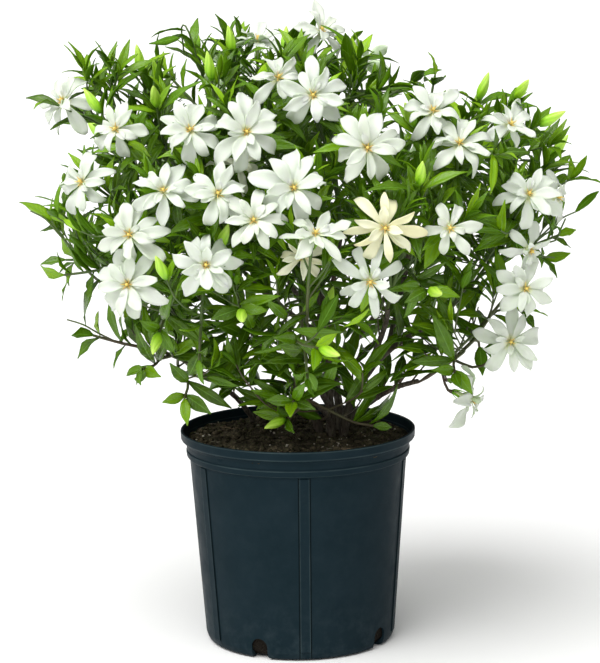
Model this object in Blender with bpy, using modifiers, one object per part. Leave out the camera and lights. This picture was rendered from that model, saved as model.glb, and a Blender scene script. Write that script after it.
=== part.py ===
"""Gardenia shrub in a nursery pot.

A thin-walled pot filled with potting soil, five woody stems that stand in holes in the soil, the leafy
sprays that grow on from the ends of the woody stems, and the blooms that sit on the sprays' calyxes.
Metres, +Z up. The origin is the centre of the pot's base. The shrub's best side looks along -Y.
"""

import math
import random

import bmesh
import bpy
from mathutils import Matrix, Vector
from mathutils.bvhtree import BVHTree

MM = 0.001

# Pot
POT_HEIGHT = 214 * MM
RIM_RADIUS = 117.5 * MM
WALL = 2.0 * MM
LIP_DROP = 10 * MM  # height of the rounded lip
BAND_DROP = 19 * MM  # bottom of the plain band below the lip
SHOULDER_DROP = 27 * MM  # where the shoulder ends and the side wall starts
BAND_RADIUS = 112.5 * MM
SHOULDER_RADIUS = 108.5 * MM
HEEL_RADIUS = 95.5 * MM  # side wall just above the rounded bottom edge
HEEL_ROUND = 7 * MM
POT_STEPS = 28
RIB_DEG = (-59, 3, 75, 147, 221)  # round from the front towards +X
RIB_WIDTH = 10.5 * MM
RIB_HEIGHT = 0.7 * MM
DRAIN_DEG = (-25, 55, 155, 235)
DRAIN_WIDTH = 17 * MM
DRAIN_TOP = 21 * MM

# Soil
SOIL_DROP = 11 * MM  # soil edge below the rim's top
SOIL_MOUND = 3 * MM
CLOD = 0.9 * MM  # how far the soil's surface is uneven
SEAT_GAP = 0.3 * MM  # between any two touching pieces
CLEARANCE = 0.6 * MM  # air kept round each new leaf, twig or bloom

# Stems: radii, and lengths along them
SPRAY_RADIUS = 2.3 * MM  # where a spray meets its woody stem
SPRAY_STRAIGHT = 5 * MM  # first stretch of a spray, in line with the woody stem
TWIG_RADIUS = 1.3 * MM
FORK_FROM = 0.06  # where twigs part from a spray's first one, as shares of its length
FORK_STEP = 0.09
STALK_LENGTH = 12 * MM  # clear twig kept behind each calyx
BRANCH_TAPER = 0.8  # a branch's radius over its stem's, where it leaves

# Leaves. A whorl is (share of the twig's length, leaves, spread in degrees, size).
LEAF_LENGTH = 54 * MM
LEAF_SLENDER = 0.27  # width over length
LEAF_THICK = 1.1 * MM
LEAF_BEND = (0.25, 0.95)  # radians from root to tip
LEAF_FOLD_DEG = (10, 24)  # how far each half is folded up along the rib
LEAF_STATIONS = (0.34, 0.68)  # where the blade has its corners, as shares of its length
LIGHT = Vector((0, -0.2, 0.6))  # how far leaves turn their faces to the light
TIP_WHORLS = ((1.0, 1, 12, 0.9), (0.94, 2, 52, 1.0), (0.70, 1, 66, 1.05))
BLOOM_WHORLS = ((0.80, 1, 68, 1.0),)

# Buds
BUD_LENGTH = 25 * MM
BUD_RADIUS = 4.2 * MM
BUD_PROFILE = ((0, 0.35), (0.30, 1.0), (0.62, 0.80), (1, 0.12))  # share of length, share of radius

# Blooms: a tube on the calyx, and tiers of petals from the outer one in
CALYX_LENGTH = 7 * MM
CALYX_RADIUS = 2.5 * MM
TUBE_LENGTH = 17 * MM
TUBE_RADIUS = 1.7 * MM
THROAT_RADIUS = 2.4 * MM
PETAL_THICK = 1.5 * MM
PETAL_SLENDER = 0.50
PETAL_NOTCH = 0.30  # where neighbouring petals part, as a share of their length
PETAL_WIDEST = 0.70
PETAL_FOLD_DEG = (8, 20)
TIERS = (
    {"rise_deg": (2, 18), "bend": (0.45, 0.95), "reach": 1.0},
    {"rise_deg": (38, 52), "bend": (0.45, 0.75), "reach": 0.8},
)

# Points along each kind of stem
WOODY_POINTS = 6
BRANCH_POINTS = 4
TWIG_POINTS = 4

FINISHES = {  # linear colour, roughness
    "pot": ((0.020, 0.030, 0.036), 0.42),
    "soil": ((0.022, 0.015, 0.010), 0.95),
    "bark": ((0.085, 0.062, 0.045), 0.85),
    "leaf": ((0.045, 0.130, 0.012), 0.32),
    "petal": ((0.850, 0.860, 0.800), 0.50),
    "aged_petal": ((0.800, 0.720, 0.420), 0.50),
}
AGED_BLOOMS = ("bloom_right_front_1", "bloom_centre_3", "bloom_front_left_4")

# Woody stems, in mm: the points of the main stem from its foot up, its radii at foot and end, and side
# branches, each leaving at a share of the main stem's length for its own points.
WOODY_STEMS = {
    "right": {
        "path": [
            (46, 2, 165),
            (46, 1, 208),
            (53, 0, 238),
            (72, -5, 272),
            (101, -10, 300),
            (132, -15, 318),
        ],
        "radii": (5.2, 2.6),
        "branches": {
            "right_arm": (1.0, []),
            "right_front": (0.50, [(84, -45, 315), (88, -75, 345)]),
            "right_low": (0.28, [(85, -14, 250), (120, -24, 264)]),
            "right_top": (0.72, [(104, -10, 350), (112, -22, 395)]),
        },
    },
    "centre": {
        "path": [
            (33, -3, 165),
            (33, -4, 210),
            (31, -10, 260),
            (24, -18, 330),
            (14, -20, 402),
        ],
        "radii": (5.0, 2.4),
        "branches": {
            "top": (1.0, []),
            "centre": (0.30, [(22, -45, 262), (14, -80, 300)]),
            "low_front": (0.22, [(28, -22, 232), (20, -38, 243)]),
            "upper_left": (0.62, [(2, -38, 352), (-22, -58, 400)]),
            "top_right": (0.70, [(38, -38, 372), (44, -52, 415)]),
        },
    },
    "left": {
        "path": [
            (22, 12, 165),
            (21, 12, 207),
            (6, 10, 245),
            (-30, 4, 285),
            (-66, -8, 322),
            (-95, -16, 350),
        ],
        "radii": (4.6, 2.4),
        "branches": {
            "left_arm": (1.0, []),
            "front_left": (0.52, [(-40, -35, 312), (-50, -72, 345)]),
            "left_top": (0.66, [(-58, 8, 360), (-78, 16, 412)]),
        },
    },
    "low_left": {
        "path": [
            (-46, 62, 165),
            (-46, 61, 206),
            (-58, 42, 232),
            (-80, 16, 256),
            (-106, -6, 280),
        ],
        "radii": (3.0, 2.0),
        "branches": {"low_left": (1.0, [])},
    },
    "back": {
        "path": [
            (44, 28, 165),
            (44, 29, 208),
            (38, 46, 262),
            (28, 70, 330),
            (18, 84, 398),
        ],
        "radii": (4.6, 2.4),
        "branches": {
            "back_top": (1.0, []),
            "back_right": (0.45, [(70, 66, 300), (98, 78, 345)]),
            "back_left": (0.55, [(-10, 74, 320), (-52, 84, 358)]),
        },
    },
}

# Blooms, in mm and degrees: centre of the face, where it looks (yaw right of the front, pitch up), reach
# of its outer petals, petals in a tier, tiers.
BLOOMS = {
    "left_arm": [
        ((-195, -132, 476), (-38, 22), 29, 5, 2),
        ((-149, -188, 434), (-12, 10), 31, 6, 2),
        ((-152, -184, 388), (-14, 8), 33, 6, 2),
    ],
    "front_left": [
        ((-68, -218, 473), (5, 20), 30, 5, 2),
        ((-36, -232, 450), (0, 28), 28, 5, 2),
        ((-80, -222, 410), (5, 12), 33, 6, 2),
        ((-51, -160, 494), (12, 30), 26, 6, 1),
    ],
    "left_top": [
        ((-221, -30, 544), (-35, 25), 31, 5, 2),
        ((-164, -130, 524), (-10, 22), 27, 5, 2),
    ],
    "upper_left": [
        ((-93, -179, 526), (0, 30), 31, 6, 2),
        ((-117, -198, 474), (-5, 25), 30, 5, 2),
    ],
    "top": [
        ((-34, 20, 596), (10, 78), 28, 5, 2),
        ((-14, -146, 570), (20, 34), 25, 5, 2),
        ((-42, -196, 526), (4, 14), 35, 6, 2),
    ],
    "top_right": [
        ((28, -2, 606), (22, 46), 28, 5, 2),
        ((18, -170, 556), (2, 14), 33, 5, 2),
        ((66, -202, 511), (0, 10), 34, 6, 2),
    ],
    "centre": [
        ((0, -226, 478), (0, 18), 35, 6, 2),
        ((18, -242, 438), (12, 44), 29, 5, 2),
        ((5, -216, 416), (-4, 8), 27, 5, 2),
    ],
    "right_front": [
        ((80, -226, 442), (4, 6), 35, 6, 2),
        ((67, -222, 394), (-2, -4), 35, 8, 1),
        ((139, -202, 438), (6, 10), 26, 6, 1),
    ],
    "right_top": [
        ((128, -146, 538), (4, 34), 29, 5, 2),
        ((152, -160, 514), (2, 46), 30, 5, 2),
        ((203, -97, 520), (22, 42), 27, 5, 2),
    ],
    "right_arm": [
        ((217, -132, 459), (10, 28), 31, 5, 2),
        ((252, -40, 446), (58, 10), 25, 6, 1),
        ((219, -120, 407), (30, -18), 25, 6, 1),
    ],
    "right_low": [
        ((214, -120, 370), (12, 5), 31, 5, 2),
        ((204, -92, 314), (8, 8), 33, 5, 2),
        ((168, -66, 254), (72, -20), 31, 6, 1),
    ],
    "back_top": [((-70, 168, 556), (190, 35), 31, 5, 2), ((74, 150, 568), (165, 40), 30, 5, 2)],
    "back_right": [((120, 192, 466), (150, 20), 33, 5, 2), ((222, 98, 416), (115, 18), 30, 5, 2)],
    "back_left": [((-122, 186, 458), (212, 18), 32, 5, 2)],
}

# Leafy tips, in mm and degrees: end of the shoot (x, y, z), where it grows (yaw, pitch), buds on it.
TIPS = {
    "low_left": [
        ((-198, -48, 318), (-84, 24), 0),
        ((-150, -70, 288), (-60, 5), 0),
        ((-108, -96, 264), (-35, -18), 0),
        ((-160, 30, 314), (-115, 15), 0),
    ],
    "left_arm": [
        ((-238, -22, 428), (-82, 24), 0),
        ((-222, -70, 381), (-70, 5), 0),
        ((-128, -150, 336), (-25, 0), 1),
    ],
    "front_left": [
        ((-50, -196, 364), (-5, 25), 1),
        ((-90, -168, 314), (-20, -12), 0),
    ],
    "left_top": [
        ((-196, 0, 562), (-65, 62), 0),
        ((-148, 4, 570), (-60, 80), 1),
        ((-128, -96, 544), (-20, 70), 1),
    ],
    "upper_left": [
        ((-92, -20, 592), (-50, 82), 2),
        ((-76, -96, 568), (0, 78), 1),
    ],
    "top": [
        ((-58, -18, 588), (20, 62), 1),
        ((-10, -60, 584), (-40, 70), 0),
    ],
    "top_right": [
        ((66, -22, 586), (40, 60), 0),
        ((92, -60, 556), (30, 55), 0),
        ((8, 60, 586), (170, 70), 0),
    ],
    "centre": [
        ((22, -206, 330), (4, 60), 1),
        ((10, -172, 296), (-5, -20), 0),
    ],
    "low_front": [
        ((-13, -66, 236), (-12, 25), 1),
        ((74, -56, 226), (55, 12), 0),
        ((-4, -110, 262), (-10, 10), 0),
    ],
    "right_front": [
        ((112, -200, 478), (0, 60), 1),
        ((122, -192, 380), (15, 35), 1),
    ],
    "right_top": [
        ((180, -22, 541), (30, 68), 1),
        ((212, -60, 544), (50, 50), 2),
        ((140, 20, 562), (60, 70), 0),
    ],
    "right_arm": [
        ((252, -10, 482), (70, 40), 1),
        ((256, -32, 408), (75, 20), 0),
        ((252, 40, 376), (100, 10), 0),
    ],
    "right_low": [
        ((186, -20, 292), (60, 0), 0),
        ((150, -110, 288), (25, -18), 0),
        ((222, -62, 340), (60, -30), 0),
    ],
    "back_top": [
        ((-8, 150, 582), (180, 68), 1),
        ((-130, 90, 566), (235, 60), 0),
        ((130, 100, 556), (130, 60), 0),
        ((58, 88, 590), (150, 75), 0),
        ((-64, 78, 596), (210, 76), 0),
    ],
    "back_right": [
        ((196, 120, 478), (125, 40), 0),
        ((168, 120, 322), (125, 0), 0),
        ((60, 200, 392), (165, 20), 1),
        ((232, 62, 384), (105, 10), 0),
    ],
    "back_left": [
        ((-196, 110, 496), (235, 50), 1),
        ((-150, 140, 346), (220, 5), 0),
        ((-30, 214, 416), (185, 25), 0),
        ((-232, 44, 380), (262, 10), 0),
    ],
}


# Frames and forms


def heading(yaw_deg, pitch_deg):
    """Unit vector that looks along -Y at yaw 0, towards +X at yaw 90, and up with pitch."""
    yaw, pitch = math.radians(yaw_deg), math.radians(pitch_deg)
    level = math.cos(pitch)
    return Vector((math.sin(yaw) * level, -math.cos(yaw) * level, math.sin(pitch)))


def across(direction):
    """Two unit vectors that make a right-handed frame with the direction as its third."""
    helper = Vector((0, 0, 1)) if abs(direction.z) < 0.9 else Vector((1, 0, 0))
    first = direction.cross(helper).normalized()
    return first, direction.cross(first).normalized()


def leaf_outline(u):
    """Half width of a lance-shaped leaf at share u of its length, as a share of its widest."""
    return math.sin(math.pi * min(1, u) ** 0.85) ** 1.1


def petal_outline(u):
    """The same for a petal, which widens from a narrow claw and ends bluntly."""
    if u < 0.68:
        return 0.30 + 0.70 * math.sin(math.pi / 2 * u / 0.68) ** 1.6
    return math.sqrt(max(0, 1 - ((u - 0.68) / 0.33) ** 2))


def blade(root, along, face, size, bend, fold, outline):
    """A leaf or petal: its root, the way it leaves, where its upper side looks, size and curves."""
    along = along.normalized()
    face = (face - along * face.dot(along)).normalized()
    return {
        "root": root,
        "along": along,
        "face": face,
        "side": along.cross(face),
        "length": size[0],
        "width": size[1],
        "bend": bend,
        "fold": fold,
        "outline": outline,
    }


def blade_normal(form, u):
    angle = form["bend"] * u
    return form["face"] * math.cos(angle) + form["along"] * math.sin(angle)


def blade_point(form, u, v):
    """Point at share u of the length and share v of the half width: 1 and -1 are its edges."""
    angle = form["bend"] * u
    radius = form["length"] / form["bend"]
    half = v * form["width"] / 2 * form["outline"](u)
    reach, drop = radius * math.sin(angle), radius * (1 - math.cos(angle))
    spine = form["root"] + form["along"] * reach - form["face"] * drop
    lift = blade_normal(form, u) * (abs(half) * math.sin(form["fold"]))
    return spine + form["side"] * (half * math.cos(form["fold"])) + lift


def leaf_solid(form, grow=0.0):
    """A closed three-sided blade: flat above, keeled below, with a point at each end."""
    points = [blade_point(form, 0, 0)]
    for u in LEAF_STATIONS:
        keel = blade_normal(form, u) * (LEAF_THICK + grow)
        edge = 1 + 2 * grow / form["width"]
        points += [blade_point(form, u, edge), blade_point(form, u, -edge)]
        points.append(blade_point(form, u, 0) - keel)
    points.append(blade_point(form, 1, 0) + form["along"] * grow)
    tip = len(points) - 1
    faces = [(0, 1 + k, 1 + (k + 1) % 3) for k in range(3)]
    for k in range(3):
        a, b, c, d = 1 + k, 1 + (k + 1) % 3, 4 + (k + 1) % 3, 4 + k
        faces += [(a, d, c), (a, c, b)] if k != 2 else [(a, d, b), (d, c, b)]
    faces += [(tip, tip - 3 + (k + 1) % 3, tip - 3 + k) for k in range(3)]
    return points, faces


def tube_solid(points, radii, sides=4):
    """A closed tube for testing where a stem would run."""
    spots, faces = [], []
    for k, (place, radius) in enumerate(zip(points, radii)):
        way = (points[min(k + 1, len(points) - 1)] - points[max(k - 1, 0)]).normalized()
        right, up = across(way)
        for s in range(sides):
            turn = 2 * math.pi * s / sides
            spots.append(place + (right * math.cos(turn) + up * math.sin(turn)) * radius)
    for k in range(len(points) - 1):
        for s in range(sides):
            a, b = k * sides + s, k * sides + (s + 1) % sides
            faces += [(a, b, b + sides), (a, b + sides, a + sides)]
    faces += [tuple(range(sides)), tuple(range(len(spots) - sides, len(spots)))]
    return spots, faces


# Room: what is already there, so that nothing new crosses it


class Room:
    """The pieces placed so far, each with its box and its search tree."""

    def __init__(self):
        self.pieces = []

    def add(self, points, faces, tag):
        self.pieces.append((*box_of(points), BVHTree.FromPolygons(points, faces), tag))

    def hits(self, points, faces, skip=()):
        """True if a new piece would cross one that is there, apart from those whose tag is in skip."""
        low, high = box_of(points)
        tree = None
        for other_low, other_high, other_tree, tag in self.pieces:
            if tag in skip or any(low[k] > other_high[k] or high[k] < other_low[k] for k in range(3)):
                continue
            if tree is None:
                tree = BVHTree.FromPolygons(points, faces)
            if tree.overlap(other_tree):
                return True
        return False


def box_of(points):
    return (
        tuple(min(p[k] for p in points) for k in range(3)),
        tuple(max(p[k] for p in points) for k in range(3)),
    )


# Paths


def smooth_path(points, count):
    """Evenly counted points on a Catmull-Rom curve through the given points."""
    ends = [points[0] * 2 - points[1], *points, points[-1] * 2 - points[-2]]
    spans = len(points) - 1
    made = []
    for k in range(count):
        place = k / (count - 1) * spans
        span = min(int(place), spans - 1)
        t = place - span
        a, b, c, d = ends[span : span + 4]
        bend, twist = 2 * a - 5 * b + 4 * c - d, 3 * b - a - 3 * c + d
        made.append(0.5 * (2 * b + (c - a) * t + bend * t**2 + twist * t**3))
    return made


def arch(start, leave, end, arrive, count, swing):
    """Points on a cubic curve that leaves and arrives along given directions. Swing bows it aside."""
    span = (end - start).length
    near = start + leave * (span * 0.36) + swing
    far = end - arrive * (span * 0.34) + swing * 0.6
    made = []
    for k in range(count):
        t = k / (count - 1)
        s = 1 - t
        made.append(start * s**3 + near * (3 * s * s * t) + far * (3 * s * t * t) + end * t**3)
    return made


def along_path(points, share):
    """Point and direction at a share of the path's length."""
    lengths = [(b - a).length for a, b in zip(points, points[1:])]
    left = share * sum(lengths)
    for a, b, span in zip(points, points[1:], lengths):
        if left <= span or b is points[-1]:
            return a.lerp(b, min(1.0, left / span)), (b - a).normalized()
        left -= span


def taper(first, last, count):
    return [first + (last - first) * k / (count - 1) for k in range(count)]


# Blender objects


def clear_scene():
    for old in list(bpy.data.objects):
        bpy.data.objects.remove(old, do_unlink=True)


def new_collection(name, parent):
    made = bpy.data.collections.new(name)
    parent.children.link(made)
    return made


def material(name, colour, roughness):
    made = bpy.data.materials.new(name)
    made.use_nodes = True
    shader = made.node_tree.nodes["Principled BSDF"]
    shader.inputs["Base Color"].default_value = (*colour, 1.0)
    shader.inputs["Roughness"].default_value = roughness
    return made


def object_of(name, mesh, collection, finish=None):
    if finish:
        mesh.materials.clear()
        mesh.materials.append(finish)
    made = bpy.data.objects.new(name, mesh)
    collection.objects.link(made)
    return made


def mesh_facing_out(name, form):
    """The bmesh as a new mesh, with its faces turned outwards."""
    bmesh.ops.recalc_face_normals(form, faces=form.faces)
    mesh = bpy.data.meshes.new(name)
    form.to_mesh(mesh)
    form.free()
    return mesh


def mesh_from(name, points, faces):
    mesh = bpy.data.meshes.new(name)
    mesh.from_pydata([tuple(p) for p in points], [], faces)
    form = bmesh.new()
    form.from_mesh(mesh)
    bpy.data.meshes.remove(mesh)
    return mesh_facing_out(name, form)


def tube_mesh(points, radii, sides):
    """Mesh of a round stem: a curve with a radius at each point, made a mesh with its caps welded."""
    curve = bpy.data.curves.new("stem", "CURVE")
    curve.dimensions = "3D"
    curve.bevel_depth = 1.0
    curve.bevel_resolution = (sides - 4) // 2
    curve.use_fill_caps = True
    spline = curve.splines.new("POLY")
    spline.points.add(len(points) - 1)
    for spot, place, radius in zip(spline.points, points, radii):
        spot.co = (*place, 1.0)
        spot.radius = radius
    guide = bpy.data.objects.new("stem", curve)
    mesh = bpy.data.meshes.new_from_object(guide)
    form = bmesh.new()
    form.from_mesh(mesh)
    bmesh.ops.remove_doubles(form, verts=form.verts, dist=1e-6)
    bpy.data.objects.remove(guide)
    bpy.data.curves.remove(curve)
    bpy.data.meshes.remove(mesh)
    return mesh_facing_out("stem", form)


def primitive(name, collection, create, matrix, **sizes):
    """An object from one of bmesh's primitives, moved by the matrix."""
    form = bmesh.new()
    create(form, **sizes)
    bmesh.ops.transform(form, matrix=matrix, verts=form.verts)
    return object_of(name, mesh_facing_out(name, form), collection)


def apply_modifiers(target):
    """The object's evaluated mesh takes the place of its mesh and modifiers."""
    bpy.context.view_layer.update()
    graph = bpy.context.evaluated_depsgraph_get()
    mesh = bpy.data.meshes.new_from_object(target.evaluated_get(graph))
    target.modifiers.clear()
    target.data = mesh


def combine(target, operation, others, solver="EXACT"):
    """Applies one Boolean with a collection, then removes the collection and its objects."""
    if others.objects:
        finish = target.data.materials[0]
        boolean = target.modifiers.new(operation.title(), "BOOLEAN")
        boolean.operation = operation
        boolean.operand_type = "COLLECTION"
        boolean.collection = others
        boolean.solver = solver
        apply_modifiers(target)
        target.data.materials.clear()
        target.data.materials.append(finish)
    for old in list(others.objects):
        bpy.data.objects.remove(old, do_unlink=True)
    bpy.data.collections.remove(others)


def turned(name, line, steps, finish, collection):
    """A solid turned round Z from a line that runs down its outer side and ends on the axis."""
    mesh = bpy.data.meshes.new(name)
    mesh.from_pydata([(r, 0, z) for r, z in line], [(k, k + 1) for k in range(len(line) - 1)], [])
    made = object_of(name, mesh, collection, finish)
    screw = made.modifiers.new("Turn", "SCREW")
    screw.steps = screw.render_steps = steps
    screw.use_merge_vertices = True
    screw.merge_threshold = 1e-5
    apply_modifiers(made)
    form = bmesh.new()
    form.from_mesh(made.data)
    made.data = mesh_facing_out(name, form)
    made.data.materials.append(finish)
    return made


# Pot and soil


def inside_of_pot():
    """Inner line of the pot's wall from the base up, as (radius, height)."""
    heel, shoulder = HEEL_RADIUS - WALL, SHOULDER_RADIUS - WALL
    return [
        (heel - HEEL_ROUND, WALL),
        (heel, HEEL_ROUND + WALL),
        (shoulder, POT_HEIGHT - SHOULDER_DROP),
        (RIM_RADIUS - 2 * WALL, POT_HEIGHT - LIP_DROP),
        (RIM_RADIUS - WALL - 0.6 * MM, POT_HEIGHT),
    ]


def outside_of_pot():
    """Outer line from the rim's top down to the base: lip, band, shoulder and tapered wall."""
    top = POT_HEIGHT
    return [
        (RIM_RADIUS - 1.2 * MM, top),
        (RIM_RADIUS, top - 1.6 * MM),
        (RIM_RADIUS - 0.4 * MM, top - LIP_DROP),
        (BAND_RADIUS, top - LIP_DROP - 1.4 * MM),
        (BAND_RADIUS - 1.2 * MM, top - BAND_DROP),
        (BAND_RADIUS, top - BAND_DROP - 1.2 * MM),
        (BAND_RADIUS - 1 * MM, top - SHOULDER_DROP + 0.8 * MM),
        (SHOULDER_RADIUS, top - SHOULDER_DROP),
        (HEEL_RADIUS, HEEL_ROUND),
        (HEEL_RADIUS - 2.0 * MM, 2.0 * MM),
        (HEEL_RADIUS - HEEL_ROUND, 0.0),
    ]


def build_pot(collection, cutters):
    line = [(0, WALL), *inside_of_pot(), *outside_of_pot(), (0, 0)]
    pot = turned("pot", line, POT_STEPS, material("pot", *FINISHES["pot"]), collection)
    low, high = HEEL_ROUND + 2 * MM, POT_HEIGHT - SHOULDER_DROP - 1 * MM
    slope = math.atan2(SHOULDER_RADIUS - HEEL_RADIUS, POT_HEIGHT - SHOULDER_DROP - HEEL_ROUND)
    middle = (HEEL_RADIUS + SHOULDER_RADIUS) / 2
    ribs = new_collection("ribs", collection)
    for k, degrees in enumerate(RIB_DEG):
        place = (
            Matrix.Rotation(math.radians(degrees), 4, "Z")
            @ Matrix.Translation((0, -middle - RIB_HEIGHT + 1 * MM, (low + high) / 2))
            @ Matrix.Rotation(slope, 4, "X")
            @ Matrix.Diagonal((RIB_WIDTH, 2 * MM, high - low, 1))
        )
        primitive(f"rib_{k}", ribs, bmesh.ops.create_cube, place, size=1)
    combine(pot, "UNION", ribs, "MANIFOLD")
    drains = new_collection("drains", cutters)
    for k, degrees in enumerate(DRAIN_DEG):
        turn = Matrix.Rotation(math.radians(degrees), 4, "Z")
        spring = DRAIN_TOP - DRAIN_WIDTH / 2
        block = Matrix.Translation((0, -HEEL_RADIUS, spring / 2 - 5 * MM))
        arch_top = Matrix.Translation((0, -HEEL_RADIUS, spring)) @ Matrix.Rotation(math.pi / 2, 4, "X")
        size = Matrix.Diagonal((DRAIN_WIDTH, 26 * MM, spring + 10 * MM, 1))
        cutter = primitive(f"drain_{k}", drains, bmesh.ops.create_cube, turn @ block @ size, size=1)
        crown = primitive(
            f"drain_arch_{k}",
            drains,
            bmesh.ops.create_cone,
            turn @ arch_top,
            cap_ends=True,
            segments=12,
            radius1=DRAIN_WIDTH / 2,
            radius2=DRAIN_WIDTH / 2,
            depth=24 * MM,
        )
        for tool in (cutter, crown):
            tool.hide_render = True
            tool.display_type = "WIRE"
    combine(pot, "DIFFERENCE", drains, "MANIFOLD")
    return pot


def build_soil(collection, cutters):
    """The root ball: it fills the pot's inside, and the stems stand in holes in it."""
    fit = SEAT_GAP / math.cos(math.pi / POT_STEPS)
    base, heel, shoulder, lip, _ = inside_of_pot()
    top = POT_HEIGHT - SOIL_DROP
    share = (top - shoulder[1]) / (lip[1] - shoulder[1])
    edge = shoulder[0] + (lip[0] - shoulder[0]) * share
    line = [(0, top + SOIL_MOUND)]
    line += [(part * edge, top + SOIL_MOUND * (1 - part**2)) for part in (0.3, 0.6, 0.86)]
    line += [(radius - fit, z) for radius, z in ((edge, top), shoulder, heel)]
    line += [(base[0] - fit, base[1] + SEAT_GAP), (0, base[1] + SEAT_GAP)]
    soil = turned("soil", line, POT_STEPS, material("soil", *FINISHES["soil"]), collection)
    rng = random.Random(11)
    for spot in soil.data.vertices:
        if spot.co.z > top + 0.1 * MM:
            spot.co.z += rng.uniform(-CLOD, CLOD)
    holes = new_collection("stem_holes", cutters)
    for name, stem in WOODY_STEMS.items():
        foot, knee = (Vector(p) * MM for p in stem["path"][:2])
        up = (knee - foot).normalized()
        bore = stem["radii"][0] * MM + SEAT_GAP / math.cos(math.pi / 6)
        ends = [foot - up * SEAT_GAP, foot + up * 60 * MM]
        hole = object_of(f"hole_{name}", tube_mesh(ends, [bore, bore], 6), holes)
        hole.hide_render = True
        hole.display_type = "WIRE"
    combine(soil, "DIFFERENCE", holes)
    return soil


# Blooms


def bloom_at(centre, look, reach, count, tiers, rng):
    """A bloom: its frame, and the blades of its tiers of petals, outer tier first."""
    right, up = across(look)
    spin = rng.uniform(0, 2 * math.pi)
    slender = PETAL_SLENDER if tiers > 1 else PETAL_SLENDER * 5.6 / count
    petals = []
    for level, tier in enumerate(TIERS[:tiers]):
        petals.append([])
        for k in range(count):
            turn = spin + 2 * math.pi * (k + 0.5 * level) / count + rng.uniform(-0.07, 0.07)
            out = right * math.cos(turn) + up * math.sin(turn)
            rise = math.radians(rng.uniform(*tier["rise_deg"]))
            length = reach * tier["reach"] * rng.uniform(0.98, 1.08)
            form = blade(
                centre + out * (1.5 * MM) + look * (2 * MM * level),
                out * math.cos(rise) + look * math.sin(rise),
                look * math.cos(rise) - out * math.sin(rise),
                (length, length * slender * rng.uniform(0.92, 1.08)),
                rng.uniform(*tier["bend"]),
                math.radians(rng.uniform(*PETAL_FOLD_DEG)),
                petal_outline,
            )
            petals[level].append(form)
    return {"centre": centre, "look": look, "spin": spin, "petals": petals}


def bloom_solid(bloom, grow=0.0):
    """A closed bloom: its tube, tiers of petals that meet at the notches between them, and its pistil."""
    centre, look = bloom["centre"], bloom["look"]
    right, up = across(look)
    count = len(bloom["petals"][0])
    points, faces = [], []

    def add(spots):
        points.extend(spots)
        return list(range(len(points) - len(spots), len(points)))

    def collar(radius, height):
        turns = [bloom["spin"] + 2 * math.pi * (k - 0.5) / count for k in range(count)]
        middle = centre + look * height
        return add([middle + (right * math.cos(t) + up * math.sin(t)) * radius for t in turns])

    def tier(petals, below, above, inner):
        """Petals whose undersides grow from the ring below and whose tops end at the ring above."""
        edge = 1 + 2 * grow / petals[0]["width"]
        pairs = zip([petals[-1], *petals], petals)
        notches = add(
            [(blade_point(a, PETAL_NOTCH, -1) + blade_point(b, PETAL_NOTCH, 1)) / 2 for a, b in pairs]
        )
        near = add([blade_point(form, PETAL_WIDEST, edge) for form in petals])
        far = add([blade_point(form, PETAL_WIDEST, -edge) for form in petals])
        tips = add([blade_point(form, 1, 0) + form["along"] * grow for form in petals])
        for ring, side in ((below, -1), (above, 1)):
            depth = side * (PETAL_THICK / 2 + grow)
            ribs = add(
                [blade_point(f, PETAL_WIDEST, 0) + blade_normal(f, PETAL_WIDEST) * depth for f in petals]
            )
            for k in range(count):
                n = (k + 1) % count
                start = ring[n] if inner else ring[k]
                faces.append((ring[k], ring[n], notches[k] if inner else ribs[k]))
                faces.append((start, ribs[k], notches[k]))
                faces.append((ring[n], notches[n], ribs[k]))
                rim = [notches[k], near[k], tips[k], far[k], notches[n]]
                faces.extend((rim[i], rim[i + 1], ribs[k]) for i in range(4))

    foot = collar(TUBE_RADIUS + grow, -TUBE_LENGTH)
    ring = collar(THROAT_RADIUS + grow, -3 * MM)
    faces.append(tuple(foot))
    for k in range(count):
        n = (k + 1) % count
        faces += [(foot[k], foot[n], ring[n]), (foot[k], ring[n], ring[k])]
    for level, petals in enumerate(bloom["petals"]):
        above = collar(THROAT_RADIUS - 0.4 * MM * level, (1.2 + 3 * level) * MM)
        tier(petals, ring, above, level > 0)
        ring = above
    pistil = add([centre + look * ((2 + 4 * len(bloom["petals"])) * MM)])[0]
    faces += [(ring[k], ring[(k + 1) % count], pistil) for k in range(count)]
    return points, faces


def stalk_of(bloom):
    """Where the calyx and the end of its twig go, behind the bloom."""
    back = (0, CALYX_LENGTH, CALYX_LENGTH + STALK_LENGTH)
    return [bloom["centre"] - bloom["look"] * (TUBE_LENGTH + SEAT_GAP + length) for length in back]


def place_blooms(room):
    """Blooms by spray. One that would cross another turns, then moves in or out, then shrinks."""
    placed = {}
    for spray, specs in BLOOMS.items():
        placed[spray] = []
        for number, (centre, facing, reach, count, tiers) in enumerate(specs):
            rng = random.Random(f"{spray} bloom {number}")
            look = heading(*facing)
            for attempt in range(96):
                step = attempt // 8
                shift = (step + 1) // 2 * 4 * MM * (-1 if step % 2 else 1)
                size = reach * MM * (1 - 0.012 * step)
                bloom = bloom_at(Vector(centre) * MM + look * shift, look, size, count, tiers, rng)
                stalk = tube_solid(stalk_of(bloom), [CALYX_RADIUS + CLEARANCE] * 3)
                if not room.hits(*bloom_solid(bloom, CLEARANCE)) and not room.hits(*stalk):
                    break
            else:
                print(f"{spray} bloom {number} crosses something")
            bloom["name"] = f"bloom_{spray}_{number + 1}"
            room.add(*bloom_solid(bloom), bloom["name"])
            room.add(*tube_solid(stalk_of(bloom), [CALYX_RADIUS] * 3), bloom["name"] + " stalk")
            placed[spray].append(bloom)
    return placed


# Woody stems


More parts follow.
